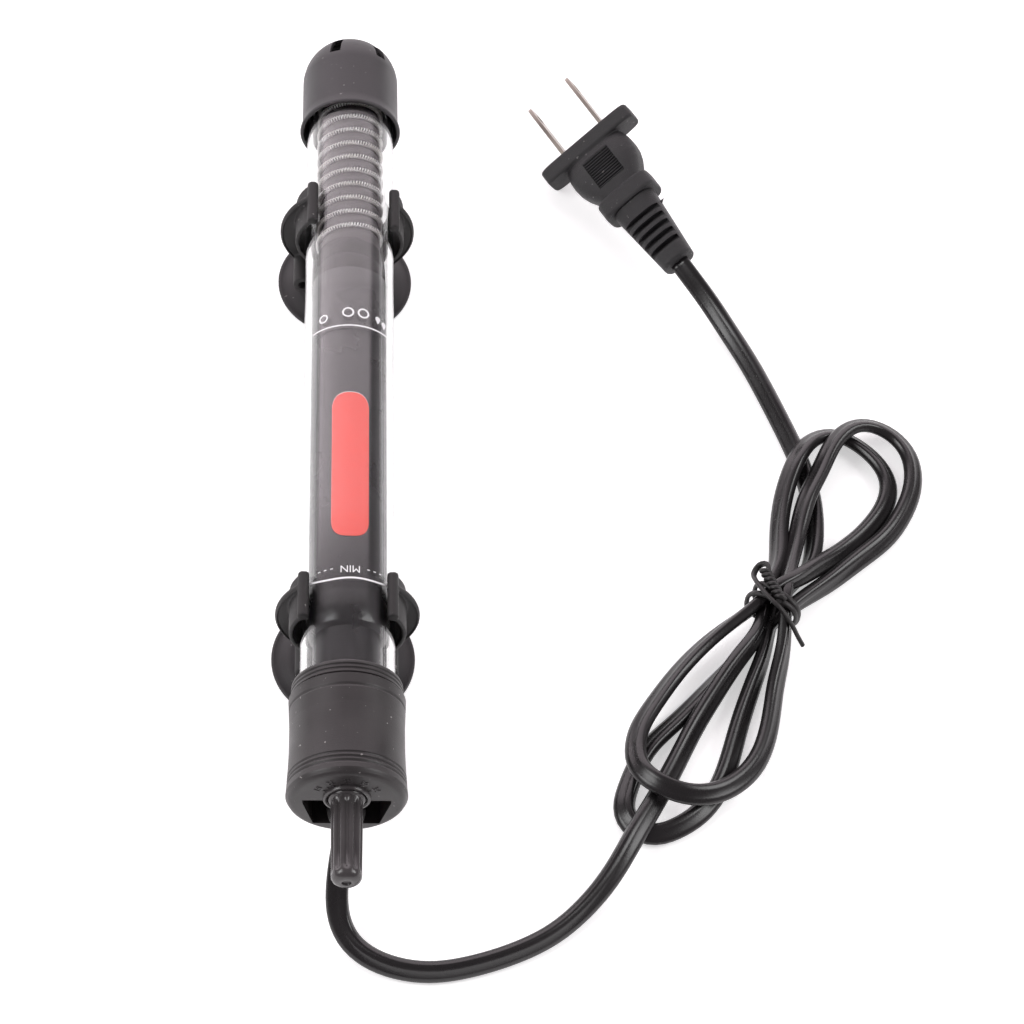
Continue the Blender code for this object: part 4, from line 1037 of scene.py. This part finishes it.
def make_grip(place):
    """Fine ribs across the recessed panel on each face."""
    bm = bmesh.new()
    for side in (1, -1):
        for step in range(12):
            along = -6.85 - 0.76 * step
            rib = [(along + 0.3 * y, side * (4.1 + 0.62 * z)) for y, z in arc((0, 0), 1, 0, pi, 10)]
            lofted([[Vector((x, y, z)) for y, z in rib] for x in (-4.05, 4.05)], bm)
    add_piece("plug_grip_ribs", bm, PLUG_VINYL, place=place)


def make_flash_nub(place):
    """A small spike of moulding flash on the strain relief's side."""
    bm = bmesh.new()
    rows = [(0.5, 0.5, 0.0), (0.3, 0.35, 0.7), (0.08, 0.1, 1.5)]
    lofted([rounded_section(wide, tall, along, 2.0, 12) for wide, tall, along in rows], bm)
    bm.transform(Matrix.Translation((5.6, -28.0, 0.6)) @ Matrix.Rotation(radians(-70), 4, "Z"))
    add_piece("plug_flash_nub", bm, PLUG_VINYL, place=place)


def relief_half(along):
    """Half the strain relief's width and height at this place."""
    share = (RELIEF_ROOT_Y - along) / RELIEF_LONG
    return 6.3 - 1.9 * share, 4.6 - 1.0 * share


def make_relief():
    """The tapered strain relief: five slots across each face, joined by ribs at its two edges."""
    place = plug_place()
    end = RELIEF_ROOT_Y - RELIEF_LONG
    rows = [(*relief_half(along), along) for along in (RELIEF_ROOT_Y, end + 0.6)]
    wide, tall = relief_half(end)
    rows += [(wide - 0.25, tall - 0.25, end + 0.2), (wide - 0.7, tall - 0.7, end)]
    relief = add_piece("ribbed_relief", lofted(dense_sections(rows, 3.0, 0.4)), PLUG_VINYL,
                       ["plug_strain_relief"], place)
    for step in range(RELIEF_SLOTS):
        along = -28.4 - 2.6 * step
        wide, tall = relief_half(along)
        for side in (1, -1):
            low, high = sorted((side * (tall - 2.0), side * (tall + 2)))
            cut(relief, box_mesh((-wide - 2, along - 1.45, low), (wide - 0.7, along, high)), place)
    soften_edges(relief, 0.14, 45)
    return relief


def make_blades():
    """Two flat blades with a hole near the tip and chamfered ends."""
    place = plug_place()
    tip, shoulder = BLADE_LONG, BLADE_LONG - 1.2
    for side, name in ((-1, "left"), (1, "right")):
        x = side * BLADE_SPACING / 2
        outline = [(-BLADE_HALF_WIDE, -3.0), (BLADE_HALF_WIDE, -3.0), (BLADE_HALF_WIDE, shoulder)]
        outline += [(2.4, tip), (-2.4, tip), (-BLADE_HALF_WIDE, shoulder)]
        sides = (x - BLADE_HALF_THICK, x + BLADE_HALF_THICK)
        sections = [[Vector((across, along, z)) for z, along in outline] for across in sides]
        blade = add_piece(f"nickel_blade_{name}", lofted(sections), NICKEL,
                          [f"plug_blade_{name}"], place)
        hole = rod(1.6, -3.0, 3.0, 40)
        hole.transform(Matrix.Translation((x, 14.2, 0)) @ Matrix.Rotation(pi / 2, 4, "Z"))
        cut(blade, hole, place)
        soften_edges(blade, 0.2)


# The CAD nodes that stay, with better finishes.

KEPT_NODES = {
    "cap_cushion": SILICONE,
    "cord_gland": RUBBER,
    "rubber_stopper": RUBBER,
    "spindle_o_ring": RUBBER,
    "adjusting_spindle": STEEL,
    "thermostat_board": BOARD,
    "bimetal_strip": BRASS,
    "contact_arm": BRASS,
    "arm_post": STEEL,
    "capacitor": BLUE,
    "signal_lamp": LAMP,
    "former_end_disc": CERAMIC,
    "lead_wire_live": WHITE_WIRE,
    "lead_wire_return": WHITE_WIRE,
}


def finish_kept_nodes():
    for name, material in KEPT_NODES.items():
        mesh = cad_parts[name].data
        mesh.materials.clear()
        mesh.materials.append(material)


# Floor, light and camera.

PANEL_LIGHT = 2.3
ROOM_LIGHT = 0.3
FLOOR_GLOW = 0.5
CAMERA_AT = (-0.00765, -0.45244, 0.64823)
CAMERA_TURN = (6.18, 55.34, 5.78)
LENS = 112.4


def add_light(name, at, power):
    """A square softbox that faces the middle of the object."""
    light = bpy.data.lights.new(name, "AREA")
    light.shape = "RECTANGLE"
    light.size = light.size_y = 0.6
    light.energy = power
    holder = bpy.data.objects.new(name, light)
    holder.location = at
    holder.rotation_euler = (Vector((0.03, 0.0, 0.0)) - Vector(at)).to_track_quat("-Z", "Y").to_euler()
    bpy.context.scene.collection.objects.link(holder)


def calculate(tree, operation, first, second):
    """The result of a maths node on these two, each a number or a socket."""
    node = add(tree, "ShaderNodeMath", operation=operation)
    for socket, value in zip(node.inputs, (first, second)):
        put(socket, value)
    return node.outputs["Value"]


def sky():
    """A dim room with one large bright panel over the guard cap's end, fading towards the right."""
    world = bpy.data.worlds.new("studio")
    world.use_nodes = True
    tree = world.node_tree
    where = add(tree, "ShaderNodeTexCoord").outputs["Generated"]
    way = add(tree, "ShaderNodeSeparateXYZ", Vector=where)
    strength = 1.0
    for axis, start, end, low, high in (
        ("Y", 0.548, 0.582, 0.0, 1.0),
        ("X", 0.62, 0.70, 1.0, 0.0),
        ("X", -0.7, 0.7, PANEL_LIGHT, 0.62 * PANEL_LIGHT),
        ("Z", 0.02, 0.1, 0.0, 1.0),
    ):
        ramp = add(tree, "ShaderNodeMapRange", Value=way.outputs[axis], From_Min=start, From_Max=end,
                   To_Min=low, To_Max=high)
        strength = calculate(tree, "MULTIPLY", strength, ramp.outputs["Result"])
    total = calculate(tree, "ADD", ROOM_LIGHT, strength)
    fill(tree.nodes["Background"], Color=(1.0, 0.90, 0.95, 1), Strength=total)
    return world


def make_studio():
    bm = bmesh.new()
    bmesh.ops.create_grid(bm, x_segments=8, y_segments=8, size=3.0 / MM)
    white = surface("white_floor", (0.92, 0.92, 0.92), 0.8, grain=0.0, vary=0.0,
                    Emission_Color=(1, 1, 1, 1), Emission_Strength=FLOOR_GLOW)
    floor = mesh_object("floor", bm, white)
    floor.location.z = -0.00002
    bpy.context.scene.world = sky()
    add_light("left_softbox", (-0.85, -0.12, 0.80), 6.8)
    add_light("right_softbox", (0.95, -0.05, 0.75), 6.2)
    bpy.context.scene.view_settings.view_transform = "Standard"


def make_camera():
    yaw, pitch, roll = (radians(angle) for angle in CAMERA_TURN)
    data = bpy.data.cameras.new("camera")
    data.lens = LENS
    data.sensor_width = 36.0
    camera = bpy.data.objects.new("camera", data)
    look = Matrix.Rotation(-yaw, 4, "Z") @ Matrix.Rotation(pi / 2 - pitch, 4, "X")
    camera.matrix_world = Matrix.Translation(CAMERA_AT) @ look @ Matrix.Rotation(roll, 4, "Z")
    bpy.context.scene.collection.objects.link(camera)
    bpy.context.scene.camera = camera


def main():
    make_camera()
    make_studio()
    finish_kept_nodes()
    make_glass()
    make_prints()
    make_cap()
    make_head()
    make_collar()
    make_knob()
    make_sleeve()
    make_red_bar()
    make_former()
    make_coil()
    make_clip("near_rubber_clip", "near_holder", "near_clip", 0.0, NEAR_ARMS_AT)
    make_clip("far_rubber_clip", "far_holder", "far_clip", FAR_TURN, FAR_ARMS_AT)
    make_cup("near_cup", "near_holder", "near_suction_cup", 0.0)
    make_cup("far_cup", "far_holder", "far_suction_cup", FAR_TURN)
    make_plug_body()
    relief = make_relief()
    make_blades()
    make_cord()
    make_tie()


main()
